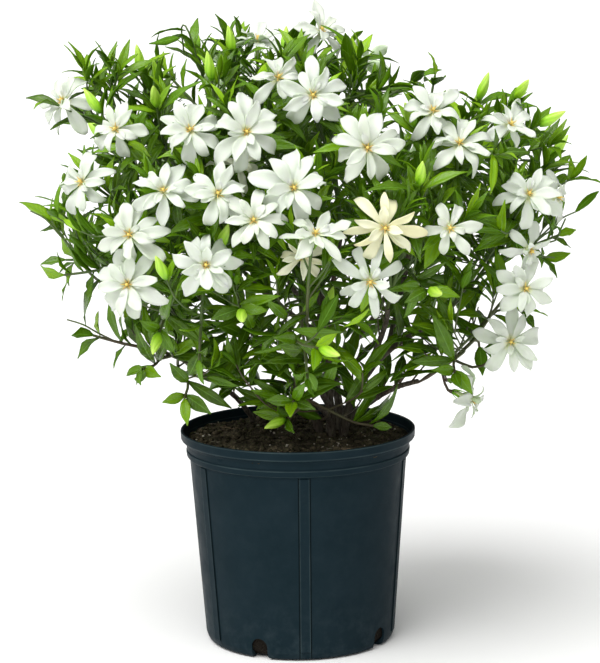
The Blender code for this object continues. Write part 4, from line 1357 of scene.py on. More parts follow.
def dressLeaves(s):
    finishes = [leafFinish(s, False), leafFinish(s, True)]
    for spray, made in sprays.items():
        rng = random.Random(spray + " colours")
        youth, tint, forms = [], [], []
        for form in made["leaves"]:
            outer = (form["root"] - shrubMiddle).length / s["crownRadius"]
            byTwig = s["byTwig"] * form["share"] ** 3 * rng.random()
            young = byTwig + s["byPlace"] * outer * rng.random() + s["age"]
            youth.append(min(1.0, young + (s["flush"] if rng.random() < s["flushShare"] else 0)))
            tint.append(rng.random())
            width = form["width"] * foliage["slender"]
            forms.append({**form, "length": fineLength(form, made["buds"]), "width": width})
        values = {"youth": youth, "tint": tint}
        bladePiece(f"leaves_{spray}", f"leafy_spray_{spray}", forms, s, finishes, values, len(forms))


dressLeaves(leafStyle)
print("leaves made")


barkStyle = {
    "twigGreen": (0.070, 0.140, 0.020),
    "twigBrown": (0.070, 0.050, 0.026),
    "bark": (0.070, 0.055, 0.038),
    "barkDark": (0.022, 0.016, 0.010),
    "barkPale": (0.150, 0.130, 0.100),
    "barkRed": (0.095, 0.050, 0.030),
    "woodySteps": 40,
    "twigSteps": 10,
    "knots": 0.07,  # how far the radius swells and thins
}


def twigFinish(s):
    f = Finish("green twig", Roughness=0.5)
    far = f.span(f.node("SeparateXYZ", "Z", {0: f.here()}), 0.26, 0.42, 0.0, 1.0)
    green = f.calc("ADD", far, f.span(f.grain(14, 2), 0.3, 0.7, -0.3, 0.3))
    tone = f.ramp(green, (0.1, s["twigBrown"]), (0.75, s["twigGreen"]))
    f.set("Base Color", f.mix(f.span(f.grain(400), 0.35, 0.7, 0.0, 0.4), tone, s["twigBrown"]))
    f.set("Normal", f.bump(f.grain(700, 3), 0.4, 0.0005))
    return f.material


def barkFinish(s):
    f = Finish("bark", Roughness=0.85)
    stretch = f.node("Mapping", "Vector", {"Vector": f.here(), "Scale": (1.0, 1.0, 0.22)})
    fibres = f.grain(520, 6, 0.65, stretch)
    tone = f.ramp(fibres, (0.30, s["barkDark"]), (0.50, s["bark"]), (0.72, s["barkPale"]))
    patch = f.span(f.grain(16, 2), 0.56, 0.66, 0.0, 0.55)
    tone = f.mix(patch, tone, s["barkRed"])
    f.set("Base Color", f.mix(f.span(f.grain(60, 3), 0.45, 0.7, 0.0, 0.6), tone, s["barkPale"]))
    cracks = f.cells(260, "Distance", "DISTANCE_TO_EDGE", stretch)
    height = f.calc("ADD", fibres, f.span(cracks, 0.0, 0.12, -0.5, 0.0))
    f.set("Normal", f.bump(height, 0.9, 0.0012))
    f.set("Roughness", f.span(fibres, 0.3, 0.7, 0.95, 0.7))
    return f.material


def fineTube(points, radii, steps):
    width = np.interp(np.linspace(0, 1, steps), np.linspace(0, 1, len(radii)), radii)
    return smoothPath(points, steps), list(width)


def dressStems():
    twigFin, barkFin = twigFinish(barkStyle), barkFinish(barkStyle)
    knots = barkStyle["knots"]
    for name, tubes in woody.items():
        rng = random.Random(name + " bark")
        fine = []
        for points, radii in tubes:
            path, width = fineTube(points, radii, barkStyle["woodySteps"])
            fine.append((path, [r * (1 + rng.uniform(-1, 1) * knots) for r in width]))
        stemPiece(f"bark_{name}", f"woody_stem_{name}", fine, barkFin, 4)
    for spray, made in sprays.items():
        twigs = made["twigs"] + made["sprigs"] + made["side"] + made["low"]
        fine = [fineTube(twig["points"], twig["radii"], barkStyle["twigSteps"]) for twig in twigs]
        stemPiece(f"twigs_{spray}", f"leafy_spray_{spray}", fine, twigFin, 1)


dressStems()
print("stems made")


budStyle = {
    "longer": 1.14,
    "fuller": 1.22,
    "steps": 18,
    "sides": 30,
    "folds": 5,
    "depth": 0.13,
    "twist": 1.5,  # radians from foot to tip
    "low": (0.130, 0.380, 0.008),
    "middle": (0.360, 0.680, 0.022),
    "tip": (0.600, 0.820, 0.140),
    "sepals": 6,
    "sepalLength": (9, 14),  # mm
    "sepalWidth": 2.0 * mm,
}


def budWidth(u):
    if u < 0.34:
        return 0.38 + 0.62 * math.sin(math.pi / 2 * u / 0.34)
    return 0.07 + 0.93 * math.cos(math.pi / 2 * ((u - 0.34) / 0.66)) ** 0.85


def budFinish(s):
    f = Finish("bud", Roughness=0.38)
    along = f.own("height")
    tone = f.ramp(along, (0.0, s["low"]), (0.35, s["middle"]), (1.0, s["tip"]))
    # painted shade: the grooves between the folds are darker green
    groove = f.span(f.own("fold"), 0.0, 0.5, 0.55, 0.0)
    tone = f.mix(groove, tone, f.mix(0.6, tone, s["low"]))
    f.set("Base Color", f.mix(f.span(f.grain(300), 0.4, 0.7, 0, 0.25), tone, s["middle"]))
    f.set("Normal", f.bump(f.grain(600), 0.2, 0.0003))
    f.set("Subsurface Weight", 0.25)
    f.set("Subsurface Radius", (0.8, 1.0, 0.3))
    f.set("Subsurface Scale", 0.002)
    return f.material


def ringSheets(rings, sides):  # faces of a closed body made of rings of points
    faces = []
    for row in range(rings - 1):
        for k in range(sides):
            a, b = row * sides + k, row * sides + (k + 1) % sides
            faces.append((a, b, b + sides, a + sides))
    last = (rings - 1) * sides
    return [*faces, tuple(reversed(range(sides))), tuple(range(last, last + sides))]


def budForm(start, grow, s):
    right, up = squareTo(grow)
    points, height, fold = [], [], []
    steps, sides = s["steps"], s["sides"]
    for row in range(steps + 1):
        u = row / steps
        for k in range(sides):
            turn = 2 * math.pi * k / sides
            ridge = (math.cos(s["folds"] * (turn - s["twist"] * u ** 1.2)) + 1) / 2
            ridge = ridge ** 0.7
            groove = s["depth"] * (1 - ridge) * min(1, 4 * u)
            radius = bud["radius"] * s["fuller"] * budWidth(u) * (1 - groove)
            spot = start + grow * (bud["length"] * s["longer"] * u)
            points.append(spot + spoke(right, up, turn) * radius)
            height.append(u)
            fold.append(ridge)
    return points, ringSheets(steps + 1, sides), height, fold


def joined(parts):
    points, faces, values = [], [], [[] for _ in parts[0][2:]]
    for spots, sheets, *numbers in parts:
        faces += [tuple(k + len(points) for k in sheet) for sheet in sheets]
        points += spots
        for kept, more in zip(values, numbers):
            kept += more
    return (points, faces, *values)


sepalStyle = {
    "rows": 6,
    "columns": 2,
    "thick": 0.5 * mm,
    "outline": lambda u, side, draw: np.cos(np.pi / 2 * u) ** 0.7,
    "twist": 0.2,
    "least": 0.2 * mm,
    "crease": 0.1,
    "wave": 0.0,
    "waves": (1, 2),
    "curl": (-0.2, 0.3),
    "curlFrom": 0.4,
    "cup": (-0.1, 0.0),
    "sweep": 0.05,
    "spread": (8, 34),  # degrees away from the flower's own way
    "budSpread": (10, 20),
}


def sepalsRound(place, way, radius, rng, spread):
    right, up = squareTo(way)
    forms = []
    turn = rng.uniform(0, 6)
    for k in range(budStyle["sepals"]):
        out = spoke(right, up, turn + 2 * math.pi * k / budStyle["sepals"])
        along, face = leaned(way, out, math.radians(rng.uniform(*spread)))
        size = (rng.uniform(*budStyle["sepalLength"]) * mm, budStyle["sepalWidth"])
        forms.append(bladeOf(place + out * radius, along, face, size, 0.2, 0.3, leafOutline))
    return forms


def sepalFinish(s):
    f = Finish("sepal", Roughness=0.45)
    tone = f.ramp(f.along(), (0.0, s["low"]), (1.0, s["middle"]))
    f.set("Base Color", f.mix(f.span(f.grain(300), 0.4, 0.7, 0, 0.4), tone, s["low"]))
    f.set("Normal", f.bump(f.grain(800), 0.3, 0.0003))
    return f.material


def dressBuds():
    finish, green = budFinish(budStyle), sepalFinish(budStyle)
    for spray, made in sprays.items():
        node = f"leafy_spray_{spray}"
        rng = random.Random(spray + " sepals")
        forms = []
        for flower in blooms.get(spray, []):
            foot = flower["centre"] - flower["look"] * (bloom["tubeLength"] + 1.5 * mm)
            spread = sepalStyle["spread"]
            forms += sepalsRound(foot, flower["look"], bloom["calyxRadius"] * 0.8, rng, spread)
        for start, grow in made["buds"]:
            forms += sepalsRound(start + grow * 1.5 * mm, grow, 2.4 * mm, rng, sepalStyle["budSpread"])
        if forms:
            bladePiece(f"sepals_{spray}", node, forms, sepalStyle, [green, green], {}, 5)
        if made["buds"]:
            points, faces, height, fold = joined([budForm(*b, budStyle) for b in made["buds"]])
            meshPiece(f"buds_{spray}", node, points, faces, finish, height=height, fold=fold)


dressBuds()
print("buds made")


petalStyle = {
    "rows": 9,
    "columns": 6,
    "thick": 0.6 * mm,
    "outline": petalShape,
    "twist": 0.7,
    "loose": ((-0.42, 0.26), (-0.56, 0.18)),  # radians that each tier's petals lean in
    "astray": 0.24,  # and to a side
    "slim": (0.74, 1.0),  # width over that of the solids' petals
    "stretch": (0.94, 1.18),
    "withered": 0.45,  # how much slimmer an old petal is
    "least": 0.5 * mm,
    "crease": 0.06,
    "wave": 0.14,
    "waves": (0.8, 2.2),
    "curl": (-0.5, 1.6),
    "curlFrom": 0.55,
    "cup": (-0.04, 0.10),
    "sweep": 0.10,
    "white": (0.650, 0.688, 0.625),
    # greenish tone for undersides and patches: partly the petals' own green-cream, partly painted shade
    "shade": (0.540, 0.680, 0.430),
    "claw": (0.720, 0.740, 0.330),
    "cream": (0.800, 0.770, 0.470),
    "brown": (0.620, 0.450, 0.220),
    "inner": {"rise": (48, 78), "bend": (0.8, 1.6), "reach": 0.52},
    "innerSlender": 0.50,
    "innerUneven": ((0.8, 1.15), (0.8, 1.15)),  # lengths and widths
    "aged": {"bloom_right_front_1": 0.8, "bloom_centre_3": 0.6, "bloom_front_left_4": 0.35},
}


def petalFinish(s, under):
    f = Finish("petal underside" if under else "petal", Roughness=0.48)
    along, age = f.along(), f.own("age")
    # undersides lean to the shade colour: partly their own green-cream, partly painted shade
    claw = s["claw"] if not under else s["shade"]
    tone = f.ramp(along, (0.0, claw), (0.22, s["shade"] if under else s["white"]), (1.0, s["white"]))
    if under:
        tone = f.mix(0.35, tone, s["shade"])
    tone = f.mix(f.span(f.grain(90, 2), 0.35, 0.7, 0.0, 0.25), tone, s["shade"])
    tone = f.mix(age, tone, s["cream"])
    edge = f.calc("MULTIPLY", f.span(along, 0.86, 1.0, 0.0, 1.0), f.span(age, 0.3, 1.0, 0.0, 0.5))
    f.set("Base Color", f.mix(f.calc("MULTIPLY", edge, f.grain(300)), tone, s["brown"]))
    uv = f.node("UVMap", "UV", {}, uv_map="blade")
    lines = f.grain(1.0, 3, 0.6, f.node("Mapping", "Vector", {"Vector": uv, "Scale": (34, 2.5, 1)}))
    f.set("Normal", f.bump(f.grain(700, 2), 0.15, 0.0002, f.bump(lines, 0.30, 0.0005)))
    f.set("Subsurface Weight", 0.35)
    f.set("Subsurface Radius", (0.9, 1.0, 0.7))
    f.set("Subsurface Scale", 0.0015)
    return f.material


heartStyle = {
    "stigma": (0.860, 0.680, 0.160),
    "anther": (0.600, 0.400, 0.130),
    "pollen": (0.720, 0.460, 0.100),
    "stigmaLength": 7.0 * mm,
    "stigmaRadius": 1.4 * mm,
    "antherLength": (5, 8),  # mm
    "antherWidth": 1.1 * mm,
    "antherLean": (28, 66),  # degrees
    # share of the length, share of the radius
    "club": ((0, 0.35), (0.35, 0.45), (0.55, 0.9), (0.75, 1.0), (0.92, 0.75), (1.0, 0.25)),
    "slim": ((0, 0.4), (0.2, 1.0), (0.7, 0.9), (1.0, 0.2)),
    "tube": ((0, 1.55), (4, 1.6), (9, 1.8), (13, 2.2), (16, 3.0), (18, 3.4)),  # height and radius, mm
}


def heartFinish(s):
    f = Finish("stigma and anthers", Roughness=0.7)
    tone = f.mix(f.own("anther"), s["stigma"], s["anther"])
    f.set("Base Color", f.mix(f.span(f.grain(900, 3), 0.3, 0.7, 0.0, 0.5), tone, s["pollen"]))
    f.set("Normal", f.bump(f.grain(1500, 3), 0.5, 0.0004))
    return f.material


def lathe(start, way, profile, sides, flag=0.0):
    right, up = squareTo(way)
    points = []
    for height, radius in profile:
        spot = start + way * height
        points += [spot + spoke(right, up, 2 * math.pi * k / sides) * radius for k in range(sides)]
    return points, ringSheets(len(profile), sides), [flag] * len(points)


def heartOf(flower, s, rng):
    look = flower["look"]
    right, up = squareTo(look)
    base = flower["centre"] + look * (1 * mm)
    size, length = s["stigmaRadius"], s["stigmaLength"]
    parts = [lathe(base, look, [(length * h, size * r) for h, r in s["club"]], 12)]
    count = len(flower["petals"][0])
    for k in range(count):
        turn = flower["spin"] + 2 * math.pi * (k + 0.25) / count + rng.uniform(-0.15, 0.15)
        lean = math.radians(rng.uniform(*s["antherLean"]))
        way, _ = leaned(look, spoke(right, up, turn), lean)
        reach, wide = rng.uniform(*s["antherLength"]) * mm, s["antherWidth"] / 2
        line = [(reach * h, wide * r) for h, r in s["slim"]]
        parts.append(lathe(base + look * (1.5 * mm), way, line, 6, rng.uniform(0.4, 1)))
    return joined(parts)


def innerPetals(flower, s, rng):
    centre, look = flower["centre"], flower["look"]
    right, up = squareTo(look)
    count = 3 if len(flower["petals"]) > 1 else 5
    forms = []
    for k in range(count):
        turn = flower["spin"] + 2 * math.pi * (k + 0.3) / count + rng.uniform(-0.3, 0.3)
        out = spoke(right, up, turn)
        root = centre + out * (2.6 * mm) + look * (1.5 * mm)
        shape = (s["inner"], flower["reach"], s["innerSlender"], s["innerUneven"])
        forms.append(petalAt(root, out, look, *shape, rng))
    return forms


def loosened(form, lean, age, s, rng):
    lean = Matrix.Rotation(rng.uniform(*lean), 3, form["side"])
    turn = Matrix.Rotation(rng.uniform(-1, 1) * s["astray"], 3, form["face"])
    spun = {key: turn @ lean @ form[key] for key in ("along", "face", "side")}
    size = {"length": form["length"] * rng.uniform(*s["stretch"])}
    size["width"] = form["width"] * rng.uniform(*s["slim"]) * (1 - s["withered"] * age)
    return {**form, **spun, **size}


def tubeOf(flower):
    start = flower["centre"] - flower["look"] * bloom["tubeLength"]
    return lathe(start, flower["look"], [(h * mm, r * mm) for h, r in heartStyle["tube"]], 14)


def tubeFinish(s):
    f = Finish("corolla tube", Roughness=0.5)
    f.set("Base Color", f.mix(f.grain(200), s["shade"], s["claw"]))
    f.set("Normal", f.bump(f.grain(500), 0.2, 0.0003))
    return f.material


def dressBlooms():
    finishes = [petalFinish(petalStyle, False), petalFinish(petalStyle, True)]
    tubeFin, heartFin = tubeFinish(petalStyle), heartFinish(heartStyle)
    for number, flower in enumerate(sum(blooms.values(), [])):
        node = flower["name"]
        rng = random.Random(node + " fine")
        tiers = zip(flower["petals"], petalStyle["loose"])
        age = petalStyle["aged"].get(node, 0.06 * rng.random())
        forms = [loosened(form, lean, age, petalStyle, rng) for tier, lean in tiers for form in tier]
        forms += innerPetals(flower, petalStyle, rng)
        values = {"age": [min(1, age * rng.uniform(0.7, 1.3)) for _ in forms]}
        bladePiece(node.replace("bloom", "petals"), node, forms, petalStyle, finishes, values, number)
        points, faces, anther = heartOf(flower, heartStyle, rng)
        meshPiece(node.replace("bloom", "heart"), node, points, faces, heartFin, anther=anther)
        points, faces, _ = tubeOf(flower)
        meshPiece(node.replace("bloom", "tube"), node, points, faces, tubeFin)


dressBlooms()
print("blooms made")


pot = {
    "height": 214,  # mm, as are the sizes below
    "rim": 117.5,
    "wall": 2.0,
    "lipDrop": 10,
    "bandDrop": 19,
    "shoulderDrop": 27,
    "band": 112.5,
    "shoulder": 108.5,
    "heel": 95.5,
    "heelRound": 7,
    "ribDeg": (-59, 3, 75, 147, 221),
    "ribWidth": 10.5,
    "ribHeight": 1.2,
    "ribRound": 0.5 * mm,
    "drainDeg": (-25, 55, 155, 235),
    "drainWidth": 17,
    "drainTop": 21,
    "drainSteps": 24,
    "steps": 192,
    "colour": (0.0068, 0.0162, 0.0215),
    "dusty": (0.026, 0.040, 0.047),
    "scuff": (0.0110, 0.0220, 0.0290),
    # painted highlight on the edges of the rings and ribs
    "paintedHighlight": (0.046, 0.070, 0.074),
    # painted shade at the ribs' feet
    "paintedShade": (0.0022, 0.0055, 0.0065),
    "highlightRings": (0.9, 8.6, 20.4, 26.2),  # edges with a painted highlight line, below the rim
    "paintedLineWidth": (0.2 * mm, 0.8 * mm),  # widths of the painted highlight and shade lines: full strength, and none
}


def rounded(line, radius, steps=4):
    # the line with each inner corner replaced by a short arc
    made = [line[0]]
    for before, corner, after in zip(line, line[1:], line[2:]):
        a, b, c = (Vector(p) for p in (before, corner, after))
        near, far = a - b, c - b
        cut = min(radius, near.length * 0.45, far.length * 0.45)
        start, end = b + near.normalized() * cut, b + far.normalized() * cut
        for k in range(steps + 1):
            t = k / steps
            made.append(tuple(start.lerp(b, t).lerp(b.lerp(end, t), t)))
    return [*made, line[-1]]


def potLine(p):
    top, wall = p["height"], p["wall"]
    heel, shoulder = p["heel"] - wall, p["shoulder"] - wall
    inner = [
        (0, wall),
        (heel - p["heelRound"], wall),
        (heel, p["heelRound"] + wall),
        (shoulder, top - p["shoulderDrop"]),
        (p["rim"] - 2 * wall, top - p["lipDrop"]),
        (p["rim"] - wall - 0.6, top),
    ]
    outer = [
        (p["rim"], top),
        (p["rim"] - 0.3, top - p["lipDrop"] + 1.6),
        (p["rim"] - 2.2, top - p["lipDrop"]),
        (p["band"], top - p["lipDrop"] - 0.6),
        (p["band"] - 0.9, top - p["bandDrop"] + 0.8),
        (p["band"] - 1.6, top - p["bandDrop"]),
        (p["band"] - 0.2, top - p["bandDrop"] - 1.2),
        (p["band"] - 1, top - p["shoulderDrop"] + 1),
        (p["shoulder"] + 0.2, top - p["shoulderDrop"]),
        (p["heel"], p["heelRound"]),
        (p["heel"] - 2, 1.6),
        (p["heel"] - p["heelRound"], 0),
        (p["heel"] - p["heelRound"] - 3, 0),
        (p["heel"] - p["heelRound"] - 5, 1.2),
        (0, 1.2),
    ]
    return rounded(inner + outer, 1.3)


def settle(made):
    # the object's mesh as its modifiers leave it
    graph = bpy.context.evaluated_depsgraph_get()
    mesh = bpy.data.meshes.new_from_object(made.evaluated_get(graph))
    made.modifiers.clear()
    made.data = mesh


def ribAt(p, degrees):  # a long block with rounded edges, upright against the wall
    low, high = p["heelRound"] + 2, p["height"] - p["shoulderDrop"] - 1
    slope = math.atan2(p["shoulder"] - p["heel"], p["height"] - p["shoulderDrop"] - p["heelRound"])
    middle = (p["heel"] + p["shoulder"]) / 2
    place = (
        Matrix.Scale(mm, 4)
        @ Matrix.Rotation(math.radians(degrees), 4, "Z")
        @ Matrix.Translation((0, -middle - p["ribHeight"] + 1, (low + high) / 2))
        @ Matrix.Rotation(slope, 4, "X")
        @ Matrix.Diagonal((p["ribWidth"], 2, high - low, 1))
    )
    form = bmesh.new()
    bmesh.ops.create_cube(form, size=1, matrix=place)
    edges = form.edges[:]
    bmesh.ops.bevel(form, geom=edges, offset=p["ribRound"], segments=3, profile=0.5, affect="EDGES")
    bmesh.ops.recalc_face_normals(form, faces=form.faces)
    mesh = bpy.data.meshes.new("rib")
    form.to_mesh(mesh)
    form.free()
    return bpy.data.objects.new("rib", mesh)


def drainAt(p, degrees):  # an arch through the wall and the heel
    turn = Matrix.Scale(mm, 4) @ Matrix.Rotation(math.radians(degrees), 4, "Z")
    half = p["drainWidth"] / 2
    outline = [(-half, -8), (half, -8)]
    for k in range(p["drainSteps"] + 1):
        a = math.pi * k / p["drainSteps"]
        outline.append((half * math.cos(a), p["drainTop"] - half + half * math.sin(a)))
    points = [turn @ Vector((x, y, z)) for y in (-p["heel"] - 13, -p["heel"] + 13) for x, z in outline]
    count = len(outline)
    faces = [tuple(range(count)), tuple(reversed(range(count, 2 * count)))]
    faces += [(k, k + count, (k + 1) % count + count, (k + 1) % count) for k in range(count)]
    return bpy.data.objects.new("drain", meshOf("drain", points, faces))


def combine(made, others, operation):
    group = bpy.data.collections.new("tools")
    for other in others:
        bpy.context.scene.collection.objects.link(other)
        group.objects.link(other)
    boolean = made.modifiers.new("combine", "BOOLEAN")
    boolean.operation = operation
    boolean.operand_type = "COLLECTION"
    boolean.solver = "EXACT"
    boolean.collection = group
    bpy.context.view_layer.update()
    settle(made)
    for other in others:
        bpy.data.objects.remove(other, do_unlink=True)
    bpy.data.collections.remove(group)


def paintedEdgeLight(f, p, height):
    # painted highlight lines on the rings' and ribs' edges, and painted shade lines at the ribs' feet
    x, y = (f.node("SeparateXYZ", axis, {0: f.here()}) for axis in "XY")
    turn = f.calc("ARCTAN2", x, f.calc("MULTIPLY", y, -1))
    radius = f.calc("SQRT", f.calc("ADD", f.calc("MULTIPLY", x, x), f.calc("MULTIPLY", y, y)))
    nearest = 9
    for degrees in p["ribDeg"]:
        centre = math.radians((degrees + 180) % 360 - 180)
        nearest = f.calc("MINIMUM", nearest, f.calc("ABSOLUTE", f.calc("SUBTRACT", turn, centre)))
    past = f.calc("SUBTRACT", f.calc("MULTIPLY", nearest, radius), p["ribWidth"] / 2 * mm)
    wall = f.calc("LESS_THAN", height, (p["height"] - p["shoulderDrop"]) * mm)
    line = lambda place: f.span(f.calc("ABSOLUTE", place), *p["paintedLineWidth"], 1.0, 0.0)
    # painted highlight just inside each rib edge, painted shade just outside it
    paintedHighlight = f.calc("MULTIPLY", f.calc("MULTIPLY", wall, 0.55), line(f.calc("ADD", past, 0.7 * mm)))
    paintedShade = f.calc("MULTIPLY", wall, line(f.calc("SUBTRACT", past, 0.4 * mm)))
    outside = f.calc("GREATER_THAN", radius, (p["band"] - 1.6) * mm)
    # painted highlight lines along the lip, band and shoulder edges
    for drop in p["highlightRings"]:
        ring = line(f.calc("SUBTRACT", height, (p["height"] - drop) * mm))
        paintedHighlight = f.calc("MAXIMUM", paintedHighlight, f.calc("MULTIPLY", outside, ring))
    return f.calc("MULTIPLY", paintedHighlight, f.span(f.grain(30, 4), 0.35, 0.65, 0.25, 0.8)), paintedShade


def potFinish(p):
    f = Finish("pot plastic", Specular_IOR_Level=0.03)
    mottle = f.grain(26, 4, 0.6)
    tone = f.mix(f.span(mottle, 0.35, 0.7, 0.0, 0.55), p["colour"], p["scuff"])
    height = f.node("SeparateXYZ", "Z", {0: f.here()})
    low = f.span(height, 0.0, 0.06, 0.8, 0.15)
    dust = f.calc("MULTIPLY", f.span(f.grain(70, 5, 0.7), 0.45, 0.75), low)
    tone = f.mix(dust, tone, p["dusty"])
    speck = f.span(f.cells(420), 0.02, 0.09, 0.5, 0.0)
    tone = f.mix(f.calc("MULTIPLY", speck, f.span(f.grain(30), 0.5, 0.7)), tone, p["dusty"])
    paintedHighlight, paintedShade = paintedEdgeLight(f, p, height)
    # painted shade at the ribs' feet, painted highlights on the edges
    tone = f.mix(paintedHighlight, f.mix(paintedShade, tone, p["paintedShade"]), p["paintedHighlight"])
    f.set("Base Color", tone)
    f.set("Roughness", f.span(f.grain(55, 4, 0.65), 0.3, 0.75, 0.34, 0.54))
    rings = f.node("Mapping", "Vector", {"Vector": f.here(), "Scale": (3.0, 3.0, 60.0)})
    drawn = f.bump(f.grain(6, 3, 0.5, rings), 0.10, 0.0006)
    f.set("Normal", f.bump(f.grain(900, 2), 0.12, 0.00025, drawn))
    return f.material


def turnedPot(p):
    line = potLine(p)
    mesh = bpy.data.meshes.new("pot line")
    edges = [(k, k + 1) for k in range(len(line) - 1)]
    mesh.from_pydata([(r * mm, 0, z * mm) for r, z in line], edges, [])
    made = addPiece(bpy.data.objects.new("nursery_pot", mesh), "pot")
    screw = made.modifiers.new("turn", "SCREW")
    screw.steps = screw.render_steps = p["steps"]
    screw.use_merge_vertices = True
    screw.merge_threshold = 1e-6
    settle(made)
    form = bmesh.new()
    form.from_mesh(made.data)
    bmesh.ops.remove_doubles(form, verts=form.verts, dist=1e-6)
    bmesh.ops.recalc_face_normals(form, faces=form.faces)
    form.to_mesh(made.data)
    form.free()
    return made


def makePot(p):
    made = turnedPot(p)
    combine(made, [ribAt(p, degrees) for degrees in p["ribDeg"]], "UNION")
    combine(made, [drainAt(p, degrees) for degrees in p["drainDeg"]], "DIFFERENCE")
    made.data.materials.clear()
    made.data.materials.append(potFinish(p))
    made.data.shade_smooth()
    edge = made.modifiers.new("edges", "WEIGHTED_NORMAL")
    edge.keep_sharp = True
    made.data.set_sharp_from_angle(angle=math.radians(40))


soil = {
    "drop": 11 * mm,
    "mound": 3 * mm,
    "rings": 64,
    "turns": 220,
    "lumps": ((18, 2.2), (55, 1.6), (150, 0.9)),  # noise scale per metre x ..., height in mm
    # how many, and sizes in mm
    "crumbs": {"clod": (420, (1.2, 4.6)), "speck": (90, (0.7, 1.5)), "chip": (70, (4, 11))},
    "chipShape": (1, 0.28, 0.12),
    # darkest soil tone, also the painted shade where the soil shows through the drain holes
    "darkSoilAndShade": (0.008, 0.006, 0.004),
    "damp": (0.052, 0.044, 0.026),
    "dry": (0.190, 0.150, 0.095),
    "pale": (0.55, 0.50, 0.42),
    "root": (0.30, 0.21, 0.12),
    # middle (x, y) and span in mm, loops, and where it starts in radians
    "roots": (
        ((52, -78), 15, 1.2, 0.4), ((-30, -84), 11, 0.7, 2.0),
        ((20, 60), 14, 0.9, 3.0), ((-70, 30), 12, 0.8, 1.0),
    ),
    "rootSteps": 25,
    "rootRadius": 0.55 * mm,
}


def soilFinish(name, s, pale=0.0):
    f = Finish(name, Specular_IOR_Level=0.12)
    coarse = f.grain(90, 6, 0.7)
    tone = f.ramp(coarse, (0.30, s["darkSoilAndShade"]), (0.50, s["damp"]), (0.75, s["dry"]))
    # painted shade: below the surface, where it shows through the drain holes, the soil is darkened
    # almost to black
    under = f.span(f.node("SeparateXYZ", "Z", {0: f.here()}), 0.14, 0.17, 0.97, 0.0)
    tone = f.mix(under, tone, s["darkSoilAndShade"])
    bits = f.span(f.cells(330), 0.10, 0.30, 0.45, 0.0)
    bits = f.calc("MULTIPLY", bits, f.span(under, 0.0, 0.5, 1.0, 0.0))
    tone = f.mix(f.calc("MULTIPLY", bits, f.span(f.grain(150), 0.55, 0.7)), tone, s["dry"])
    tone = f.mix(f.calc("MULTIPLY", f.own("pale"), pale), tone, s["pale"])
    f.set("Base Color", tone)
    height = f.calc("ADD", coarse, f.calc("MULTIPLY", f.cells(420), 0.8))
    f.set("Normal", f.bump(height, 1.0, 0.0018))
    f.set("Roughness", f.span(coarse, 0.3, 0.7, 1.0, 0.75))
    return f.material


def soilHeight(x, y, s, edge):
    out = min(1.0, math.hypot(x, y) / edge)
    z = pot["height"] * mm - s["drop"] + s["mound"] * (1 - out**2)
    for k, (scale, height) in enumerate(s["lumps"]):
        z += height * mm * noise.noise(Vector((x * scale * 2, y * scale * 2, 3.1 * k)))
    return z


def soilEdge(s):  # the solid soil's own radius at its top
    top = pot["height"] * mm - s["drop"]
    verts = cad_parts["soil"].data.vertices
    return max(math.hypot(v.co.x, v.co.y) for v in verts if v.co.z > top - 2 * mm) - 0.2 * mm


def ringAt(radius, turns):
    spokes = (2 * math.pi * k / turns for k in range(turns))
    return [(radius * math.cos(a), radius * math.sin(a)) for a in spokes]


def makeBed(s, edge):
    points, faces = [(0, 0, soilHeight(0, 0, s, edge))], []
    rings, turns = s["rings"], s["turns"]
    for ring in range(1, rings + 1):
        points += [(x, y, soilHeight(x, y, s, edge)) for x, y in ringAt(edge * ring / rings, turns)]
    wall, heel = pot["wall"] + 0.6, pot["heel"] - pot["wall"] - 0.6
    shoulder = (pot["shoulder"] - wall, pot["height"] - pot["shoulderDrop"])
    below = (shoulder, (heel, pot["heelRound"] + wall), (heel - 7, wall))
    for radius, z in below:
        points += [(x, y, z * mm) for x, y in ringAt(radius * mm, turns)]
    faces += [(0, 1 + k, 1 + (k + 1) % turns) for k in range(turns)]
    for ring in range(rings + len(below) - 1):
        a = 1 + ring * turns
        for k in range(turns):
            n = (k + 1) % turns
            faces.append((a + k, a + turns + k, a + turns + n, a + n))
    last = 1 + (rings + len(below) - 1) * turns
    faces.append(tuple(reversed(range(last, last + turns))))
    meshPiece("soil_bed", "soil", points, faces, soilFinish("soil", s))


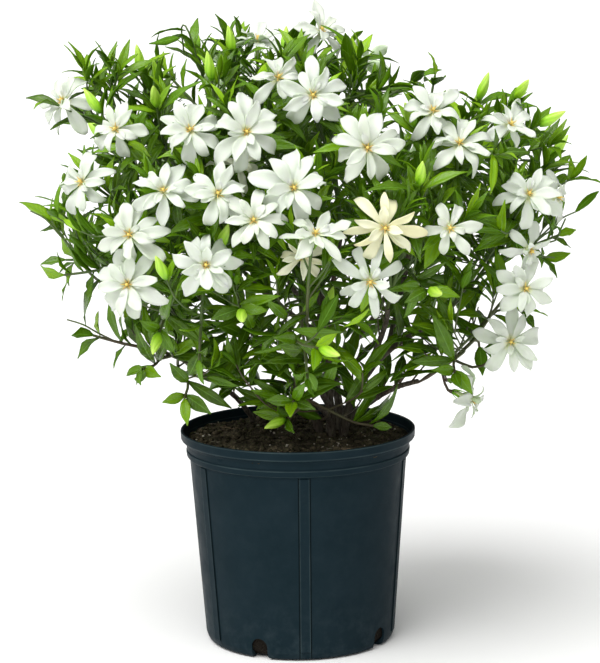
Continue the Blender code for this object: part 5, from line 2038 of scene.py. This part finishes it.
def makeCrumbs(s, edge):
    rng = random.Random(23)
    form = bmesh.new()
    bmesh.ops.create_icosphere(form, subdivisions=2, radius=1)
    ball = [v.co.copy() for v in form.verts]
    sheets = [tuple(v.index for v in f.verts) for f in form.faces]
    form.free()
    parts = []
    for kind, (count, sizes) in s["crumbs"].items():
        for _ in range(count):
            away = (edge - 3 * mm) * math.sqrt(rng.random())
            a = rng.uniform(0, 2 * math.pi)
            x, y = away * math.cos(a), away * math.sin(a)
            size = rng.uniform(*sizes) * mm * (0.5 if kind == "chip" else 1)
            shape = s["chipShape"]
            if kind != "chip":
                shape = (1, rng.uniform(0.6, 1), rng.uniform(0.5, 0.85))
            turn = Matrix.Rotation(rng.uniform(0, 6.3), 3, "Z")
            turn = turn @ Matrix.Rotation(rng.gauss(0, 0.3), 3, "X")
            seed = Vector((rng.random(), rng.random(), rng.random())) * 50
            middle = Vector((x, y, soilHeight(x, y, s, edge) + size * shape[2] * 0.4))
            spots = []
            for p in ball:
                rough = 1 + 0.45 * noise.noise(p * 1.6 + seed)
                spots.append(middle + turn @ (Vector([q * w for q, w in zip(p, shape)]) * size * rough))
            pale = {"clod": 0.0, "speck": 1.0, "chip": rng.uniform(0, 0.35)}[kind]
            parts.append((spots, sheets, [pale] * len(spots)))
    points, faces, pale = joined(parts)
    meshPiece("soil_crumbs", "soil", points, faces, soilFinish("crumbs", s, 0.9), pale=pale)


def makeRoots(s, edge):  # thin ones that come out of the soil and go back in
    f = Finish("dry roots", Roughness=0.85)
    f.set("Base Color", f.mix(f.grain(300, 4), s["root"], s["damp"]))
    f.set("Normal", f.bump(f.grain(900), 0.5, 0.0004))
    steps = s["rootSteps"]
    roots = []
    for (middleX, middleY), span, loops, turn in s["roots"]:
        path = []
        for k in range(steps + 1):
            t = k / steps
            a = turn + 2 * math.pi * loops * t
            reach = span * (0.45 + 0.55 * t)
            x, y = (middleX + reach * math.cos(a)) * mm, (middleY + reach * 0.6 * math.sin(a)) * mm
            lift = (1.2 + 3.0 * math.sin(math.pi * t)) * mm if 0.02 < t < 0.98 else -1 * mm
            path.append(Vector((x, y, soilHeight(x, y, s, edge) + lift)))
        roots.append((path, [s["rootRadius"] * (1 - 0.4 * k / steps) for k in range(steps + 1)]))
    stemPiece("surface_roots", "soil", roots, f.material, 2)


def makeSoil(s):
    edge = soilEdge(s)
    makeBed(s, edge)
    makeCrumbs(s, edge)
    makeRoots(s, edge)


makePot(pot)
makeSoil(soil)
print("pot and soil made")
